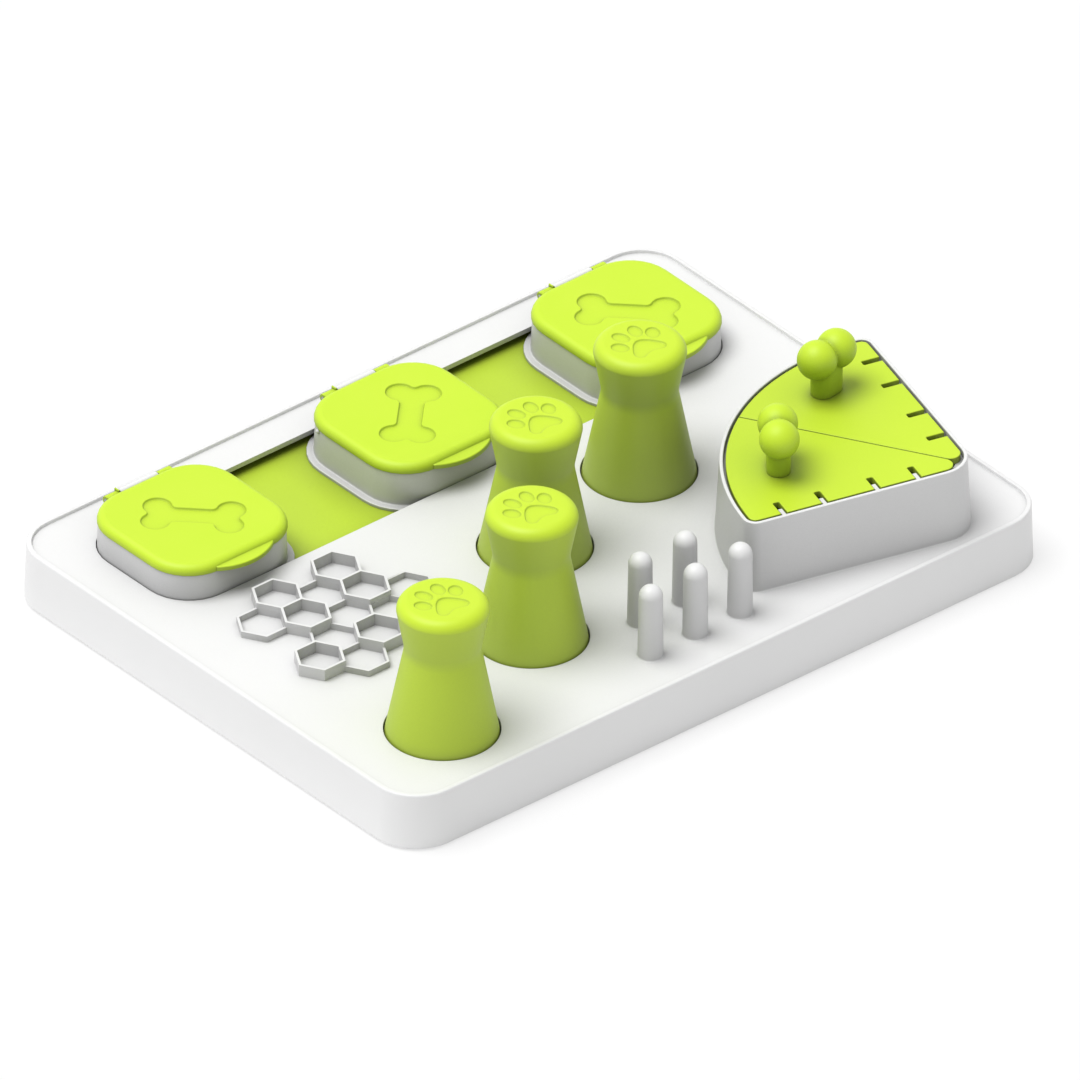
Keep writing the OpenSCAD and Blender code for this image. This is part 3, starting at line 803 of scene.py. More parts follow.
# Lime ABS of the sector lids, injection moulded: as loud, with a fainter painted shade round the knobs.
SECTOR_ABS = MouldedPlastic("lime_sector_abs", "#CFEA30", "#C7E82A", "#7E8C35", 0.5,
                            painted_shade_reach_mm=60.0, painted_shade_power=1.0, painted_crease_power=0.5)
# Lime ABS of the cups, injection moulded: loud on top, with painted shade that turns the close-set sides
# olive.
CUP_ABS = MouldedPlastic("lime_cup_abs", "#D1EC31", "#CBEA2D", "#869447", 0.5,
                         painted_shade_reach_mm=250.0, painted_shade_power=1.3, painted_crease_power=0.5)
# Lime ABS of the channel, injection moulded: duller, with strong painted shade near the slot's walls and
# the boxes.
CHANNEL_ABS = MouldedPlastic("lime_channel_abs", "#CDEA39", "#C7E534", "#66721E", 0.5,
                             painted_shade_reach_mm=40.0, painted_shade_power=1.45, painted_crease_power=0.35)
# Elastomer of the feet, moulded: nearly black and matt, so that it reads as grip and not as shade.
FOOT_RUBBER = MouldedRubber()
# Zinc plated steel of the screws and the hinge pins: a grey satin glint between the plastics.
STEEL = PlatedSteel()


class Finishes:
    """Makes each material once and paints pieces with it."""

    def __init__(self) -> None:
        """Starts with no material made."""
        self.made: dict[str, bpy.types.Material] = {}

    def paint(self, piece: bpy.types.Object, finish: Finish) -> None:
        """Gives a piece one material.

        Args:
            piece: The piece.
            finish: Its material.
        """
        if finish.name not in self.made:
            self.made[finish.name] = finish.make()
        piece.data.materials.clear()
        piece.data.materials.append(self.made[finish.name])

    def paint_node(self, node: str, finish: Finish) -> None:
        """Gives a carried-over CAD node one material."""
        self.paint(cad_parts[node], finish)
        LOG.info("kept CAD node %s in %s", node, finish.name)


def hand_over(piece: bpy.types.Object, finish: Finish,
              body: str, nodes: Sequence[str], finishes: Finishes) -> None:
    """Smooths, paints and seats a finished piece on its body.

    Args:
        piece: The piece.
        finish: Its material.
        body: The CAD body that it moves with.
        nodes: The CAD nodes that it stands for.
        finishes: The store of materials.
    """
    finish_surface(piece)
    finishes.paint(piece, finish)
    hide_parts(*nodes)
    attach(piece, body)
    LOG.info("%s: %d faces, on %s", piece.name, len(piece.data.polygons), body)


# The board and what stands on it

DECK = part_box("pegs")[0].z / MM
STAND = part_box("base_board")[0].z / MM
ROW_Y = middle_of("slide_tray")[1]
BOX_PITCH = middle_of("right_box")[0]
CUP_SPOTS = [middle_of(f"{name}_cup") for name in ("first", "second", "third", "fourth")]


@dataclass
class Board:
    """The board's shell: skirt, rim, deck, wells, slot and what stiffens it underneath."""

    half_length: float = 200.0
    half_width: float = 149.0
    corner: float = 24.0
    lean: float = 0.85
    rim_height: float = 1.6
    rim_width: float = 2.4
    top_round: float = 0.9
    rim_round: float = 0.2
    rim_lean: float = 0.03
    foot_round: float = 0.5
    foot_flat: float = 2.5
    skirt: float = 2.6
    skirt_lean: float = 0.01
    deck: float = 2.6
    under_round: float = 1.0
    well_radius: float = 28.05
    well_wall: float = 2.0
    well_depth: float = 4.0
    well_lip: float = 0.25
    well_floor_round: float = 0.8
    slot_half_x: float = 174.0
    slot_half_y: float = 39.2
    slot_corner: float = 23.5
    slot_lip: float = 0.2
    slot_floor_round: float = 0.3
    slot_past: float = 1.5
    tray_depth: float = 6.0
    boss_radius: float = 3.8
    pilot_radius: float = 1.27
    boss_from_row: float = 50.1
    foot_spot: Point = (187.0, 136.0)
    foot_pocket_radius: float = 6.02
    foot_pocket_top: float = 2.6
    post_radius: float = 7.2
    rib_half: float = 0.9
    rib_depth: float = 8.0
    rib_back: float = 30.8
    rib_corner: float = 0.3
    rib_round: float = 0.4

    def shell(self) -> bpy.types.Object:
        """Makes the skirt, rim and deck, before anything is added or cut.

        Returns:
            The closed shell.
        """
        outline = rounded_rectangle((0, 0), self.half_length, self.half_width, self.corner)
        start = STAND + self.foot_round
        rim_top = DECK + self.rim_height
        rim_flat = self.rim_width - self.top_round - self.rim_round
        upper = [(self.lean, rim_top - self.top_round - start), *bend(self.top_round, 1, Start.WALL),
                 (rim_flat, 0.0), *bend(self.rim_round, -1, Start.FLAT),
                 (self.rim_lean, 2 * self.rim_round - self.rim_height),
                 *bend(self.rim_round, -1, Start.WALL)]
        lower = [*bend(self.foot_round, -1, Start.WALL), (self.foot_flat, 0.0),
                 *bend(self.foot_round, 1, Start.FLAT),
                 (self.skirt_lean, DECK - self.deck - self.under_round - start),
                 *bend(self.under_round, 1, Start.WALL)]
        piece = plate("board_shell", outline, start)
        raise_cap(piece, upper)
        close_opening(piece)
        raise_cap(piece, lower)
        return piece

    def boss_spots(self) -> list[Point]:
        """Where the channel's screws go."""
        return [(share * BOX_PITCH, ROW_Y + side * self.boss_from_row)
                for share in (-1.125, -0.375, 0.375, 1.125) for side in (-1, 1)]

    def foot_spots(self) -> list[Point]:
        """Where the feet are."""
        return [(sx * self.foot_spot[0], sy * self.foot_spot[1]) for sx in (-1, 1) for sy in (-1, 1)]

    def added(self) -> list[bpy.types.Object]:
        """Makes the wells, bosses, posts and ribs.

        Returns:
            Solids that end inside the deck.
        """
        inside = DECK - self.deck / 2
        solids = []
        for spot in CUP_SPOTS:
            depth = inside - (DECK - self.well_depth - self.well_wall)
            solids.append(solid("well", circle(spot, self.well_radius + self.well_wall), inside,
                                [(0.0, self.under_round - depth), *bend(self.under_round, -1, Start.WALL)]))
        for spot in self.boss_spots():
            solids.append(solid("boss", circle(spot, self.boss_radius, HOLE_CIRCLE), inside,
                                [(0.0, DECK - self.tray_depth - inside)]))
        for spot in self.foot_spots():
            solids.append(solid("post", circle(spot, self.post_radius, SMALL_CIRCLE), inside,
                                [(0.0, STAND - inside)]))
        xs = [spot[0] for spot in CUP_SPOTS]
        for x in ((xs[0] + xs[1]) / 2, (xs[2] + xs[3]) / 2, (xs[3] + self.half_length) / 2):
            front = self.skirt - self.half_width - PAST
            middle, half = (front + self.rib_back) / 2, (self.rib_back - front) / 2
            depth = inside - (DECK - self.deck - self.rib_depth)
            outline = rounded_rectangle((x, middle), self.rib_half, half, self.rib_corner)
            solids.append(solid("rib", outline, inside,
                                [(0.0, self.rib_round - depth), *bend(self.rib_round, -1, Start.WALL)]))
        return solids

    def cut(self) -> list[bpy.types.Object]:
        """Makes the cutters of the wells, the slot, the screw holes and the foot pockets.

        Returns:
            The cutters.
        """
        cutters = [recess_tool(lambda grow, spot=spot: circle(spot, self.well_radius + grow, LARGE_CIRCLE),
                               DECK, self.well_depth, self.well_lip, self.well_floor_round)
                   for spot in CUP_SPOTS]
        cutters.append(recess_tool(
            lambda grow: rounded_rectangle((0, ROW_Y), self.slot_half_x + grow, self.slot_half_y + grow,
                                           self.slot_corner + grow),
            DECK, self.deck + self.slot_past, self.slot_lip, self.slot_floor_round))
        low = DECK - self.tray_depth - PAST
        for spot in self.boss_spots():
            cutters.append(solid("pilot", circle(spot, self.pilot_radius, SCREW_CIRCLE),
                                 DECK - self.deck / 2, [(0.0, low - DECK + self.deck / 2)]))
        for spot in self.foot_spots():
            cutters.append(solid("pocket", circle(spot, self.foot_pocket_radius, SMALL_CIRCLE),
                                 self.foot_pocket_top, [(0.0, -self.foot_pocket_top)]))
        return cutters

    def build(self, finishes: Finishes) -> None:
        """Makes the board.

        Args:
            finishes: The store of materials.
        """
        piece = self.shell()
        combine(piece, self.added(), Join.ADD)
        combine(piece, self.cut(), Join.CUT)
        hand_over(piece, BOARD_ABS, "board", ["base_board"], finishes)


@dataclass
class Fixtures:
    """What stands on or under the deck: honeycomb, pegs, channel, feet and screws."""

    peg_height: float = 39.5
    peg_base: float = 6.2
    peg_top: float = 5.8
    peg_pitch: float = 27.8
    peg_flare: float = 0.9
    foot_radius: float = 6.0
    foot_height: float = 2.6
    foot_edge: float = 0.4
    comb_edge: float = 0.25
    comb_flat_angle: float = 1.0
    comb_edge_angle: float = 50.0

    def peg_profile(self) -> Outline:
        """The section of a peg, from under its foot to its tip.

        Returns:
            Radius and height of each point.
        """
        flare = [(self.peg_base + self.peg_flare * (1 - math.sin(math.radians(a))),
                  self.peg_flare * (1 - math.cos(math.radians(a)))) for a in (0, 30, 60, 90)]
        dome = [(self.peg_top * math.cos(math.radians(a)),
                 self.peg_height - self.peg_top + self.peg_top * math.sin(math.radians(a)))
                for a in range(0, 91, 9)]
        return [(0.0, -SUNK), (self.peg_base + self.peg_flare, -SUNK), *flare[1:], *dome[:-1],
                (0.0, self.peg_height)]

    def pegs(self, finishes: Finishes) -> None:
        """Makes the five pegs.

        Args:
            finishes: The store of materials.
        """
        low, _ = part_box("pegs")
        across, front = middle_of("pegs")[0], low.y / MM + self.peg_base
        master = turned_solid("peg", self.peg_profile(), SMALL_CIRCLE)
        copies = []
        for row, count in enumerate((3, 2)):
            for i in range(count):
                spot = Vector((across + (i - (count - 1) / 2) * self.peg_pitch,
                               front + row * self.peg_pitch * math.sqrt(3) / 2, DECK))
                copies.append(copy_of(master, "peg_copy", 0, spot))
        bpy.data.objects.remove(master)
        hand_over(joined(copies, "deck_pegs"), FIGURE_ABS, "board", ["pegs"], finishes)

    def honeycomb(self, finishes: Finishes) -> None:
        """Makes the honeycomb from the CAD walls, with their upper edges rounded.

        Args:
            finishes: The store of materials.
        """
        piece = copy_of(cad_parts["honeycomb"], "honeycomb_walls")
        piece.parent = None
        for key in list(piece.keys()):
            del piece[key]
        activate(piece)
        bpy.ops.object.mode_set(mode="EDIT")
        bpy.ops.mesh.select_all(action="SELECT")
        bpy.ops.mesh.remove_doubles(threshold=MERGE_GAP * MM)
        bpy.ops.mesh.dissolve_limited(angle_limit=math.radians(self.comb_flat_angle))
        bpy.ops.object.mode_set(mode="OBJECT")
        apply_modifier(piece, "BEVEL", {
            "width": self.comb_edge * MM, "segments": 2,
            "limit_method": "ANGLE", "angle_limit": math.radians(self.comb_edge_angle)})
        hand_over(piece, FIGURE_ABS, "board", ["honeycomb"], finishes)

    def feet(self, finishes: Finishes) -> None:
        """Makes the four feet.

        Args:
            finishes: The store of materials.
        """
        solids = [solid("foot", circle(spot, self.foot_radius, SMALL_CIRCLE), self.foot_height,
                        [(0.0, self.foot_edge - self.foot_height), *bend(self.foot_edge, -1, Start.WALL)])
                  for spot in Board().foot_spots()]
        hand_over(joined(solids, "rubber_feet"), FOOT_RUBBER, "board", ["feet"], finishes)

    def build(self, finishes: Finishes) -> None:
        """Makes or paints all of them.

        Args:
            finishes: The store of materials.
        """
        self.pegs(finishes)
        self.honeycomb(finishes)
        self.feet(finishes)
        finishes.paint_node("slide_tray", CHANNEL_ABS)
        finishes.paint_node("tray_screws", STEEL)


# Boxes and lids


@dataclass
class SlideBox:
    """A white box that slides in the slot, with a lime lid on a hinge along its back."""

    flange_half: float = 42.3
    flange_corner: float = 26.6
    flange_thickness: float = 1.5
    flange_edge: float = 0.4
    flange_fillet: float = 0.8
    half: float = 38.9
    lean: float = 0.6
    wall: float = 2.2
    rise: float = 13.4
    floor_thickness: float = 1.8
    floor_round: float = 2.5
    hollow_lean: float = 0.3
    ring_height: float = 1.8
    ring_half: float = 37.0
    ring_round: float = 0.2
    ring_lean: float = 0.02
    bottom: float = field(default_factory=lambda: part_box("middle_box")[0].z / MM)
    lid_half: float = 38.9
    lid_corner: float = 23.2
    lid_height: float = 4.9
    lid_round: float = 4.3
    lid_wall: float = 1.6
    lid_hollow: float = 2.4
    lid_edge: float = 0.3
    lid_lean: float = 0.02
    lid_hollow_round: float = 0.8
    seat_gap: float = 0.1
    tab_half: float = 17.6
    tab_out: float = 5.7
    tab_bottom: float = 0.3
    tab_thickness: float = 2.7
    tab_round: float = 0.7
    tab_short: float = 0.1
    axis_back: float = 39.7
    axis_height: float = 14.3
    knuckle_radius: float = 2.3
    knuckle_from: float = 12.0
    knuckle_length: float = 8.2
    barrel_radius: float = 2.6
    hinge_edge: float = 0.3
    hinge_gap: float = 0.3
    pin_radius: float = 1.0
    box_bore_play: float = 0.01
    lid_bore_play: float = 0.06
    bone_reach: float = 17.6
    bone_spread: float = 6.4
    bone_lobe: float = 6.9
    bone_shaft: float = 5.8
    bone_fillet: float = 2.8
    bone_notch: float = 2.4
    bone_forward: float = 0.8
    bone_depth: float = 1.0
    bone_slope: float = 0.9
    leaf_in: float = 1.3
    leaf_corner: float = 0.2
    leaf_round: float = 0.25
    lug_spot: Point = (-12.6, 40.2)
    lug_half: Point = (0.45, 1.7)
    lug_corner: float = 0.3
    lug_bottom: float = 0.6
    lug_top: float = 3.3
    lug_round: float = 0.5
    nub_radius: float = 1.3
    nub_spot: tuple[float, float, float] = (-37.19, 22.7, 11.9)
    row: tuple[tuple[str, int, float], ...] = (
        ("left", -1, -45.0), ("middle", 0, 45.0), ("right", 1, -45.0))

    def hinge_point(self, along: float) -> Vector:
        """A point on the hinge's axis of the middle box."""
        return Vector((along, ROW_Y + self.axis_back, DECK + self.axis_height))

    def knuckles(self, grow: float, edge: float = 0.0) -> list[bpy.types.Object]:
        """Both knuckles of a lid, or their pockets grown by a gap.

        Args:
            grow: The gap that they are grown by.
            edge: Size of the bevel at their ends.

        Returns:
            Both of them.
        """
        length = self.knuckle_length + 2 * grow
        return [rod("knuckle", self.knuckle_radius + grow, self.hinge_point(start), length, edge)
                for start in (self.knuckle_from - grow, -self.knuckle_from - self.knuckle_length - grow)]

    def box(self) -> bpy.types.Object:
        """Makes the middle box, with its flange, its hinge barrel and the ring inside its lid.

        Returns:
            The box.
        """
        edge, fillet = self.flange_edge, self.flange_fillet
        outline = rounded_rectangle((0, ROW_Y), self.flange_half, self.flange_half, self.flange_corner)
        top = DECK + self.rise
        wall_from = self.bottom + self.flange_thickness
        ring_in = self.half - self.lean - self.ring_half
        inside = self.ring_half - (self.half - self.lean - self.wall)
        depth = top + self.ring_height - self.bottom - self.floor_thickness
        steps = [(0.0, self.flange_thickness - edge), *bend(edge, 1, Start.WALL),
                 (self.flange_half - self.half - edge - fillet, 0.0), *bend(fillet, 1, Start.FLAT),
                 (self.lean, top - wall_from - fillet - edge), *bend(edge, 1, Start.WALL),
                 (ring_in - edge, 0.0), (self.ring_lean, self.ring_height - self.ring_round),
                 *bend(self.ring_round, 1, Start.WALL),
                 (inside - 2 * self.ring_round - self.ring_lean, 0.0),
                 *bend(self.ring_round, -1, Start.FLAT),
                 (self.hollow_lean, self.ring_round + self.floor_round - depth),
                 *bend(self.floor_round, -1, Start.WALL)]
        piece = solid("box", outline, self.bottom, steps)
        barrel = 2 * (self.knuckle_from - self.hinge_gap)
        combine(piece, [rod("barrel", self.barrel_radius, self.hinge_point(-barrel / 2), barrel,
                            self.hinge_edge)], Join.ADD)
        combine(piece, self.knuckles(self.hinge_gap), Join.CUT)
        combine(piece, [rod("bore", self.pin_radius + self.box_bore_play, self.hinge_point(-barrel),
                            2 * barrel)], Join.CUT)
        return piece

    def leaves(self) -> list[bpy.types.Object]:
        """Makes what joins the lid's knuckles to its back edge.

        Returns:
            A flat leaf each, and a thin rib on the left one.
        """
        level = DECK + self.axis_height
        middle_y = ROW_Y + (self.axis_back + self.lid_half - self.leaf_in) / 2
        half_x, half_y = self.knuckle_length / 2, (self.axis_back - self.lid_half + self.leaf_in) / 2
        leaf_steps = [(0.0, self.knuckle_radius - self.leaf_round),
                      *bend(self.leaf_round, 1, Start.WALL, EDGE_STEPS)]
        solids = []
        for start in (self.knuckle_from, -self.knuckle_from - self.knuckle_length):
            outline = rounded_rectangle((start + half_x, middle_y), half_x, half_y, self.leaf_corner)
            solids.append(solid("leaf", outline, level, leaf_steps))
        x, y = self.lug_spot
        outline = rounded_rectangle((x, ROW_Y + y), *self.lug_half, self.lug_corner)
        solids.append(solid("lug", outline, level + self.lug_bottom,
                            [(0.0, self.lug_top - self.lug_bottom - self.lug_round),
                             *bend(self.lug_round, 1, Start.WALL, EDGE_STEPS)]))
        return solids

    def nub(self) -> bpy.types.Object:
        """The small bump near the back of the middle box's left wall."""
        along, across, height = self.nub_spot
        return ball(self.nub_radius, (along, ROW_Y + across, DECK + height), HOLE_CIRCLE)

    def tab(self, base: float) -> bpy.types.Object:
        """Makes the finger tab in the middle of the lid's front edge.

        Args:
            base: Height of the lid's lower edge.

        Returns:
            The tab.
        """
        radius = (self.tab_half**2 + self.tab_out**2) / (2 * self.tab_out)
        centre = (0, ROW_Y - self.lid_half - self.tab_out + radius)
        swing = math.degrees(math.asin(self.tab_half / radius))
        inner = ROW_Y - self.lid_half + self.lid_wall - self.tab_short
        outline = [*arc(centre, radius, 270 - swing, 270 + swing, steps=24),
                   (self.tab_half, inner), (-self.tab_half, inner)]
        return solid("tab", outline, base + self.tab_bottom,
                     [(0.0, self.tab_thickness - self.tab_bottom - self.tab_round),
                      *bend(self.tab_round, 1, Start.WALL)])

    def lid(self) -> bpy.types.Object:
        """Makes the middle lid before its bone is cut.

        Returns:
            The lid.
        """
        base, edge = DECK + self.rise + self.seat_gap, self.lid_edge
        outline = rounded_rectangle((0, ROW_Y), self.lid_half, self.lid_half, self.lid_corner)
        piece = plate("lid", outline, base + edge)
        raise_cap(piece, [(0.0, self.lid_height - self.lid_round - edge),
                          *bend(self.lid_round, 1, Start.WALL, steps=10)])
        close_opening(piece)
        raise_cap(piece, [*bend(edge, -1, Start.WALL), (self.lid_wall - 2 * edge, 0.0),
                          *bend(edge, 1, Start.FLAT),
                          (self.lid_lean, self.lid_hollow - edge - self.lid_hollow_round),
                          *bend(self.lid_hollow_round, 1, Start.WALL)])
        face_outwards(piece)
        notch = self.knuckle_from
        combine(piece, [rod("notch", self.barrel_radius + self.hinge_gap, self.hinge_point(-notch),
                            2 * notch)], Join.CUT)
        combine(piece, [self.tab(base)], Join.ADD)
        combine(piece, self.knuckles(0.0, self.hinge_edge), Join.ADD)
        for leaf in self.leaves():
            combine(piece, [leaf], Join.ADD)
        reach = self.knuckle_from + self.knuckle_length + PAST
        combine(piece, [rod("bore", self.pin_radius + self.lid_bore_play, self.hinge_point(-reach),
                            2 * reach)], Join.CUT)
        return piece

    def bone(self, grow: float, turn: float, spot: Point) -> Outline:
        """A generic bone with four round lobes.

        Args:
            grow: How far the outline is grown.
            turn: Its turn in degrees.
            spot: Its middle.

        Returns:
            The outline, anticlockwise.
        """
        lobe, half, fillet = self.bone_lobe + grow, self.bone_shaft + grow, self.bone_fillet - grow
        rise = half + fillet - self.bone_spread
        run = math.sqrt((lobe + fillet) ** 2 - rise**2)
        meet = 180 - math.degrees(math.asin(rise / (lobe + fillet)))
        notch = self.bone_notch - grow
        beyond = math.sqrt((lobe + notch) ** 2 - self.bone_spread**2)
        lean = math.degrees(math.atan2(self.bone_spread, beyond))
        upper = arc((self.bone_reach + beyond, 0), notch, 180, 180 - lean, steps=5)
        upper += arc((self.bone_reach, self.bone_spread), lobe, -lean, meet, steps=20)[1:]
        upper += arc((self.bone_reach - run, half + fillet), fillet, meet - 180, -90, steps=4)
        left = [(-x, y) for x, y in reversed(upper)]
        half_outline = upper + left[:-1]
        return placed(half_outline + [(-x, -y) for x, y in half_outline], turn, spot)

    def build(self, finishes: Finishes) -> None:
        """Makes the three boxes and their lids.

        Args:
            finishes: The store of materials.
        """
        box, lid = self.box(), self.lid()
        top = DECK + self.rise + self.seat_gap + self.lid_height
        for name, place, turn in self.row:
            spot = Vector((place * BOX_PITCH, 0, 0))
            own_box = copy_of(box, f"{name}_box_shell", 0, spot)
            if place == 0:
                combine(own_box, [self.nub()], Join.ADD)
            hand_over(own_box, WHITE_ABS, f"{name}_box_body", [f"{name}_box"], finishes)
            own_lid = copy_of(lid, f"{name}_lid_shell", 0, spot)
            middle = (place * BOX_PITCH, ROW_Y - self.bone_forward)
            figure = soft_recess(lambda grow: self.bone(grow, turn, middle), top,
                                 self.bone_depth, self.bone_slope)
            combine(own_lid, [figure], Join.CUT)
            hand_over(own_lid, LIME_ABS, f"{name}_lid_body", [f"{name}_lid"], finishes)
            finishes.paint_node(f"{name}_hinge_pin", STEEL)
        bpy.data.objects.remove(box)
        bpy.data.objects.remove(lid)


# Cups


@dataclass
class Cup:
    """A hollow lime cup with a waist and a generic paw in its crown."""

    base: float = 27.8
    waist: float = 18.3
    waist_height: float = 50.2
    blend: float = 16.0
    crown: float = 22.3
    height: float = 77.3
    crown_round: float = 5.7
    wall: float = 2.0
    top: float = 2.6
    bottom: float = field(default_factory=lambda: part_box("first_cup")[0].z / MM)
    foot_round: float = 0.7
    paw_depth: float = 0.8
    paw_slope: float = 0.8
    paw_shift: Point = (-0.6, -0.1)
    toes: tuple[tuple[float, float, float, float, float], ...] = (
        (4.4, 8.3, 3.3, 4.7, 15.0), (10.1, 2.1, 3.4, 4.4, 28.0))
    pad: tuple[Point, ...] = (
        (0, 1.6), (3.2, 0.4), (6.4, -3.0), (8.8, -7.0), (8.5, -9.9), (5.9, -11.3), (2.9, -10.3))
    pad_hollow: float = -9.7

    def blended(self, inward: float) -> Outline:
        """The rounded waist of the side, drawn in by a distance, from below to above.

        Args:
            inward: The distance.

        Returns:
            Radius and height of each point.
        """
        waist = Vector((self.waist - inward, self.waist_height))
        down = (Vector((self.base - inward, 0)) - waist).normalized()
        up = (Vector((self.crown - inward, self.height - self.crown_round)) - waist).normalized()
        half = math.acos(max(-1.0, min(1.0, down.dot(up)))) / 2
        radius = self.blend + inward
        centre = waist + (down + up).normalized() * radius / math.sin(half)
        ends = [waist + way * radius / math.tan(half) - centre for way in (down, up)]
        start, end = (math.degrees(math.atan2(v.y, v.x)) % 360 for v in ends)
        return arc((centre.x, centre.y), radius, start, end, steps=12)

    def profile(self) -> Outline:
        """The whole section, from the crown's middle outside to its middle inside.

        Returns:
            Radius and height of each point.
        """
        inner_round = self.crown_round - self.wall
        corner = self.crown - self.crown_round
        outer = arc((corner, self.height - self.crown_round), self.crown_round, 90, 0, steps=10)
        foot = arc((self.base - self.foot_round, self.foot_round), self.foot_round, 0, -90, ROUND_STEPS)
        inner_top = self.height - self.top
        inner = arc((corner, inner_top - inner_round), inner_round, 0, 90)
        return [(0.0, self.height), *outer, *reversed(self.blended(0)), *foot,
                (self.base - self.wall, 0.0), *self.blended(self.wall), *inner, (0.0, inner_top)]

    def paw_tools(self) -> list[bpy.types.Object]:
        """Makes the cutters of the pad and the four toes.

        Returns:
            The cutters.
        """
        pad = [*self.pad, (0, self.pad_hollow), *[(-x, y) for x, y in reversed(self.pad[1:])]]
        middle = sum(y for _, y in pad) / len(pad)
        reach = max(x for x, _ in pad)
        aside, forward = self.paw_shift
        tools = [soft_recess(
            lambda grow: closed_curve([(aside + x * (1 + grow / reach),
                                        forward + middle + (y - middle) * (1 + grow / reach))
                                       for x, y in reversed(pad)]),
            self.height, self.paw_depth, self.paw_slope)]
        for x, y, across, along, lean in self.toes:
            for side in (-1, 1):
                tools.append(soft_recess(
                    lambda grow, side=side, x=x, y=y, across=across, along=along, lean=lean: ellipse(
                        (aside + side * x, forward + y), across + grow, along + grow, side * lean),
                    self.height, self.paw_depth, self.paw_slope))
        return tools

    def build(self, finishes: Finishes) -> None:
        """Makes the four cups.

        Args:
            finishes: The store of materials.
        """
        master = turned_solid("cup", self.profile(), LARGE_CIRCLE)
        combine(master, self.paw_tools(), Join.CUT)
        for name, spot in zip(("first", "second", "third", "fourth"), CUP_SPOTS):
            own = copy_of(master, f"{name}_cup_shell", 0, Vector((*spot, self.bottom)))
            hand_over(own, CUP_ABS, f"{name}_cup_body", [f"{name}_cup"], finishes)
        bpy.data.objects.remove(master)


# The sector bin


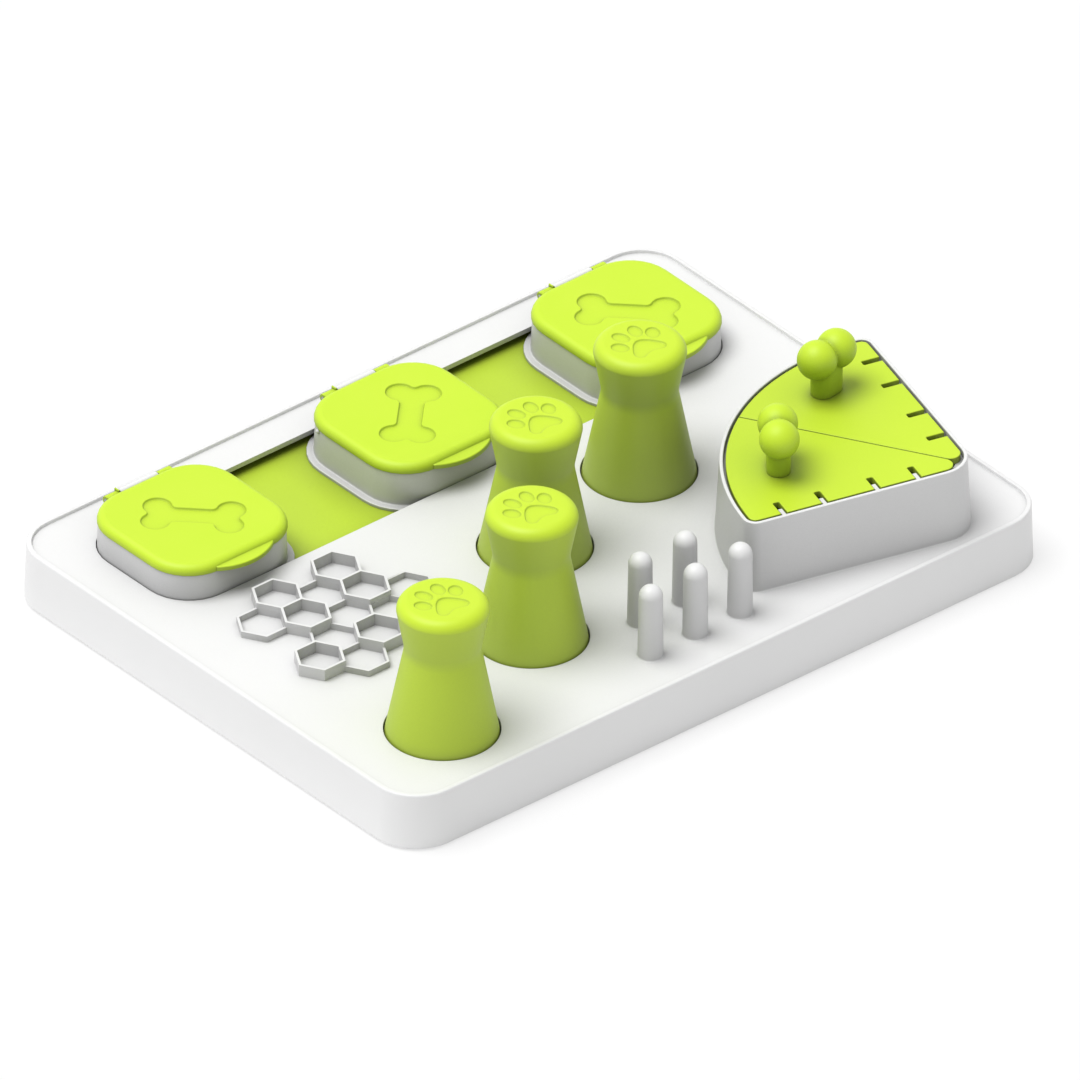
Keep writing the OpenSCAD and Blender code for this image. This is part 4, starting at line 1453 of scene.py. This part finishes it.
@dataclass
class SectorBin:
    """A quarter-round bin with two sector lids, each with a double-ball knob."""

    apex: Point = (160.0, -140.9)
    turn: float = 75.5
    height: float = 38.3
    radius: float = 115.06
    back: float = 6.2
    wall: float = 1.8
    apex_round: float = 16.5
    end_round: float = 6.5
    flare: float = 1.8
    foot_fillet: float = 0.8
    rim_round: float = 0.5
    inner_lean: float = 0.02
    ledge_height: float = 2.0
    ledge_width: float = 4.0
    ledge_gap: float = 0.1
    guide_half: float = 1.1
    guide_in: float = 6.4
    guide_low: float = 0.9
    guide_corner: float = 0.25
    guide_round: float = 0.3
    lid_bottom: float = field(default_factory=lambda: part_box("front_sector_lid")[0].z / MM)
    lid_top: float = field(default_factory=lambda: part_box("front_sector_lid")[1].z / MM)
    lid_gap: float = 1.25
    split_half: float = 0.25
    tip_round: float = 5.0
    notch_half: float = 1.65
    notch_length: float = 11.0
    notch_round: float = 0.7
    notches: tuple[float, ...] = (30.5, 52.0, 79.6, 101.1)
    lid_edge: float = 0.45
    ball: float = 9.7
    ball_apart: float = 13.7
    ball_up: float = 21.0
    stem: float = 5.8
    stem_apart: float = 5.6
    web_corner: float = 0.2
    spigot: float = 3.0
    spigot_play: float = 0.03
    voxel: float = 0.4
    smoothing: float = 0.5
    smoothing_rounds: int = 6
    knob_turns: tuple[tuple[Side, float], ...] = ((Side.FRONT, 53.0), (Side.BACK, 8.0))

    def centre(self) -> Point:
        """Centre of the curved wall."""
        return placed([(self.back, self.back)], self.turn, self.apex)[0]

    def end(self) -> tuple[Point, float]:
        """Finds an end corner, seen from the curved wall's centre.

        Returns:
            The corner's centre, and its direction in degrees.
        """
        x = self.end_round - self.back
        y = math.sqrt((self.radius - self.end_round) ** 2 - x**2)
        return (x, y), math.degrees(math.atan2(y, x))

    def outline(self, inward: float) -> Outline:
        """The bin's outline, drawn in by a distance.

        Args:
            inward: The distance.

        Returns:
            The outline, anticlockwise.
        """
        (x, y), angle = self.end()
        m = self.apex_round - self.back
        local = [*arc((m, m), self.apex_round - inward, 180, 270),
                 *arc((y, x), self.end_round - inward, -90, 90 - angle),
                 *arc((0, 0), self.radius - inward, 90 - angle, angle, steps=64)[1:-1],
                 *arc((x, y), self.end_round - inward, angle, 180)]
        return placed(local, self.turn, self.centre())

    def shell(self) -> bpy.types.Object:
        """Makes the bin's wall, a little wider at its foot.

        Returns:
            A closed ring.
        """
        base = DECK - SUNK
        wide = self.flare + self.foot_fillet
        inside = self.wall - 2 * self.rim_round
        piece = plate("bin_shell", self.outline(-wide), base)
        raise_cap(piece, [*bend(self.foot_fillet, 1, Start.FLAT),
                          (self.flare, self.height + SUNK - self.foot_fillet - self.rim_round),
                          *bend(self.rim_round, 1, Start.WALL), (inside, 0.0),
                          *bend(self.rim_round, -1, Start.FLAT),
                          (self.inner_lean, self.rim_round - self.height - SUNK)])
        activate(piece)
        bpy.ops.object.mode_set(mode="EDIT")
        bpy.ops.mesh.delete(type="ONLY_FACE")
        select_open_edges()
        bpy.ops.mesh.bridge_edge_loops()
        bpy.ops.object.mode_set(mode="OBJECT")
        face_outwards(piece)
        return piece

    def ledge_ring(self) -> bpy.types.Object:
        """Makes the ledge that carries the lids.

        Returns:
            A ring that ends inside the wall.
        """
        low = self.lid_bottom - self.ledge_gap - self.ledge_height
        ring = solid("ledge", self.outline(self.wall / 2), low, [(0.0, self.ledge_height)])
        hole = solid("ledge_hole", self.outline(self.wall + self.ledge_width), low - PAST,
                     [(0.0, self.ledge_height + 2 * PAST)])
        combine(ring, [hole], Join.CUT)
        return ring

    def guides(self) -> list[bpy.types.Object]:
        """Makes the small ribs that stand in the front lid's notches.

        Returns:
            The ribs.
        """
        low = self.lid_bottom - self.ledge_gap - self.ledge_height
        top = self.lid_top - self.guide_low
        start, end = self.wall / 2 - self.back, self.wall + self.guide_in - self.back
        solids = []
        for along in self.notches:
            y = along - self.back
            local = rounded_rectangle(((start + end) / 2, y), (end - start) / 2, self.guide_half,
                                      self.guide_corner)
            steps = [(0.0, top - low - self.guide_round), *bend(self.guide_round, 1, Start.WALL)]
            solids.append(solid("guide", placed(local, self.turn, self.centre()), low, steps))
        return solids

    def lid_outline(self, side: Side) -> Outline:
        """Outline of one lid, with its notches and its round tip.

        Args:
            side: The half of the bin.

        Returns:
            The outline, anticlockwise.
        """
        (x, y), angle = self.end()
        inward = self.wall + self.lid_gap
        edge = inward - self.back
        tip_x = edge + self.tip_round
        tip_y = tip_x + math.sqrt(2) * (self.tip_round + self.split_half)
        start = 45 + math.degrees(math.asin(self.split_half / (self.radius - inward)))
        local = [*arc((tip_x, tip_y), self.tip_round, 180, 315, steps=16),
                 *arc((0, 0), self.radius - inward, start, angle, steps=32),
                 *arc((x, y), self.end_round - inward, angle, 180)[1:]]
        end = self.wall - self.back + self.notch_length
        for along in reversed(self.notches):
            y = along - self.back
            r, h = self.notch_round, self.notch_half
            local += [(edge, y + h), *arc((end - r, y + h - r), r, 90, 0, EDGE_STEPS),
                      *arc((end - r, y - h + r), r, 0, -90, EDGE_STEPS), (edge, y - h)]
        if side is Side.BACK:
            local = [(v, u) for u, v in reversed(local)]
        return placed(local, self.turn, self.centre())

    def lid(self, side: Side) -> bpy.types.Object:
        """Makes one sector lid, with the hole that its knob is seated in.

        Args:
            side: The half of the bin.

        Returns:
            The lid.
        """
        edge = self.lid_edge
        thickness = self.lid_top - self.lid_bottom
        piece = solid(f"{side.value}_sector_shell", self.lid_outline(side), self.lid_bottom,
                      [(0.0, thickness - edge), *bend(edge, 1, Start.WALL, EDGE_STEPS)])
        hole = circle(middle_of(f"{side.value}_knob"), self.spigot + self.spigot_play, HOLE_CIRCLE)
        combine(piece, [solid("hole", hole, self.lid_bottom - PAST, [(0.0, thickness + 2 * PAST)])],
                Join.CUT)
        return piece

    def knob(self) -> bpy.types.Object:
        """Makes a knob at the origin: two balls side by side on a short stem, softly blended.

        Returns:
            The knob.
        """
        parts = []
        for side in (-1, 1):
            parts.append(ball(self.ball, (side * self.ball_apart / 2, 0, self.ball_up), ROD_CIRCLE))
            stem = circle((side * self.stem_apart / 2, 0), self.stem, SMALL_CIRCLE)
            parts.append(solid("stem", stem, 0.0, [(0.0, self.ball_up)]))
        web = rounded_rectangle((0, 0), self.stem_apart / 2, self.stem, self.web_corner)
        parts.append(solid("web", web, 0.0, [(0.0, self.ball_up)]))
        spigot = circle((0, 0), self.spigot, HOLE_CIRCLE)
        parts.append(solid("spigot", spigot, self.lid_bottom - self.lid_top, [(0.0, self.stem)]))
        piece = joined(parts, "knob")
        activate(piece)
        piece.data.remesh_voxel_size = self.voxel * MM
        bpy.ops.object.voxel_remesh()
        apply_modifier(piece, "SMOOTH", {"factor": self.smoothing, "iterations": self.smoothing_rounds})
        return piece

    def build(self, finishes: Finishes) -> None:
        """Makes the bin, its lids and their knobs.

        Args:
            finishes: The store of materials.
        """
        piece = self.shell()
        combine(piece, [self.ledge_ring()], Join.ADD)
        combine(piece, self.guides(), Join.ADD)
        hand_over(piece, FIGURE_ABS, "board", ["bin_wall"], finishes)
        master = self.knob()
        for side, turn in self.knob_turns:
            body = f"{side.value}_sector_body"
            hand_over(self.lid(side), SECTOR_ABS, body, [f"{side.value}_sector_lid"],
                      finishes)
            spot = Vector((*middle_of(f"{side.value}_knob"), self.lid_top))
            own = copy_of(master, f"{side.value}_double_ball_knob", turn, spot)
            hand_over(own, LIME_ABS, body, [f"{side.value}_knob"], finishes)
        bpy.data.objects.remove(master)


# The studio


@dataclass(frozen=True)
class Studio:
    """Floor, light and camera."""

    azimuth: float = -40.505
    elevation: float = 34.118
    roll: float = 0.41
    aim: tuple[float, float, float] = (22.726, 18.577, 1.0)
    frame_width: float = 511.66
    distance: float = 2000.0
    clip_m: tuple[float, float] = (0.05, 20.0)
    floor_size: float = 6000.0
    floor_colour: str = "#F4F4F4"
    floor_shows_light: float = 0.3
    sky_light: float = 0.42
    sun_light: float = 2.38
    sun_blur: float = 40.0
    sun_tilt: tuple[float, float] = (-11.0, -15.0)

    def camera(self) -> None:
        """Puts the camera where the photograph's was, with parallel rays as its lines run parallel."""
        data = bpy.data.cameras.new("camera")
        data.type = "ORTHO"
        data.ortho_scale = self.frame_width * MM
        data.clip_start, data.clip_end = self.clip_m
        camera = bpy.data.objects.new("camera", data)
        bpy.context.scene.collection.objects.link(camera)
        turn = (Matrix.Rotation(math.radians(self.azimuth), 4, "Z")
                @ Matrix.Rotation(math.radians(90 - self.elevation), 4, "X")
                @ Matrix.Rotation(math.radians(self.roll), 4, "Z"))
        back = turn @ Vector((0, 0, self.distance * MM))
        camera.matrix_world = Matrix.Translation(Vector(self.aim) * MM + back) @ turn
        bpy.context.scene.camera = camera

    def seen_directly(self, tree: bpy.types.NodeTree) -> Linkable:
        """Tells what the camera sees, itself or in a reflection or through glass, from what it lights.

        Args:
            tree: The node tree.

        Returns:
            A socket with 1 or 0.
        """
        path = add_node(tree, "ShaderNodeLightPath")
        some = add_node(tree, "ShaderNodeMath", {"operation": "MAXIMUM"},
                        {0: path.outputs["Is Camera Ray"], 1: path.outputs["Is Glossy Ray"]})
        return add_node(tree, "ShaderNodeMath", {"operation": "MAXIMUM"},
                        {0: some.outputs[0], 1: path.outputs["Is Transmission Ray"]}).outputs[0]

    def floor(self) -> None:
        """A plain pale floor that keeps the object's shadow."""
        deselect_all()
        bpy.ops.mesh.primitive_plane_add(size=self.floor_size * MM, location=(0, 0, 0))
        floor = bpy.context.object
        floor.name = "floor"
        material, tree = new_material("pale_floor")
        matt = add_node(tree, "ShaderNodeBsdfDiffuse", {}, {"Color": linear(self.floor_colour)})
        white = add_node(tree, "ShaderNodeEmission", {}, {"Color": (1, 1, 1, 1), "Strength": 1.0})
        share = add_node(tree, "ShaderNodeMath", {"operation": "MULTIPLY"},
                         {0: self.seen_directly(tree), 1: 1 - self.floor_shows_light})
        mixed = add_node(tree, "ShaderNodeMixShader", {},
                         {0: share.outputs[0], 1: matt.outputs[0], 2: white.outputs[0]})
        add_node(tree, "ShaderNodeOutputMaterial", {}, {"Surface": mixed.outputs[0]})
        floor.data.materials.append(material)

    def light(self) -> None:
        """An even sky and one broad lamp overhead, tipped a little to the left."""
        world = bpy.data.worlds.new("studio")
        world.use_nodes = True
        world.node_tree.nodes.clear()
        tree = world.node_tree
        sky = add_node(tree, "ShaderNodeBackground", {},
                       {"Color": (1, 1, 1, 1), "Strength": self.sky_light})
        white = add_node(tree, "ShaderNodeBackground", {}, {"Color": (1, 1, 1, 1), "Strength": 1.0})
        mixed = add_node(tree, "ShaderNodeMixShader", {},
                         {0: self.seen_directly(tree), 1: sky.outputs[0], 2: white.outputs[0]})
        add_node(tree, "ShaderNodeOutputWorld", {}, {"Surface": mixed.outputs[0]})
        bpy.context.scene.world = world
        data = bpy.data.lights.new("overhead", "SUN")
        data.energy = self.sun_light
        data.angle = math.radians(self.sun_blur)
        lamp = bpy.data.objects.new("overhead", data)
        lamp.rotation_euler = (math.radians(self.sun_tilt[0]), math.radians(self.sun_tilt[1]), 0)
        bpy.context.scene.collection.objects.link(lamp)

    def build(self) -> None:
        """Sets up the view, the light, the floor and the camera."""
        bpy.context.scene.view_settings.view_transform = "Standard"
        self.floor()
        self.light()
        self.camera()


def main() -> None:
    logging.basicConfig(level=logging.INFO, format="%(message)s")
    finishes = Finishes()
    Studio().build()
    Board().build(finishes)
    Fixtures().build(finishes)
    SlideBox().build(finishes)
    Cup().build(finishes)
    SectorBin().build(finishes)


if __name__ == "__main__":
    main()
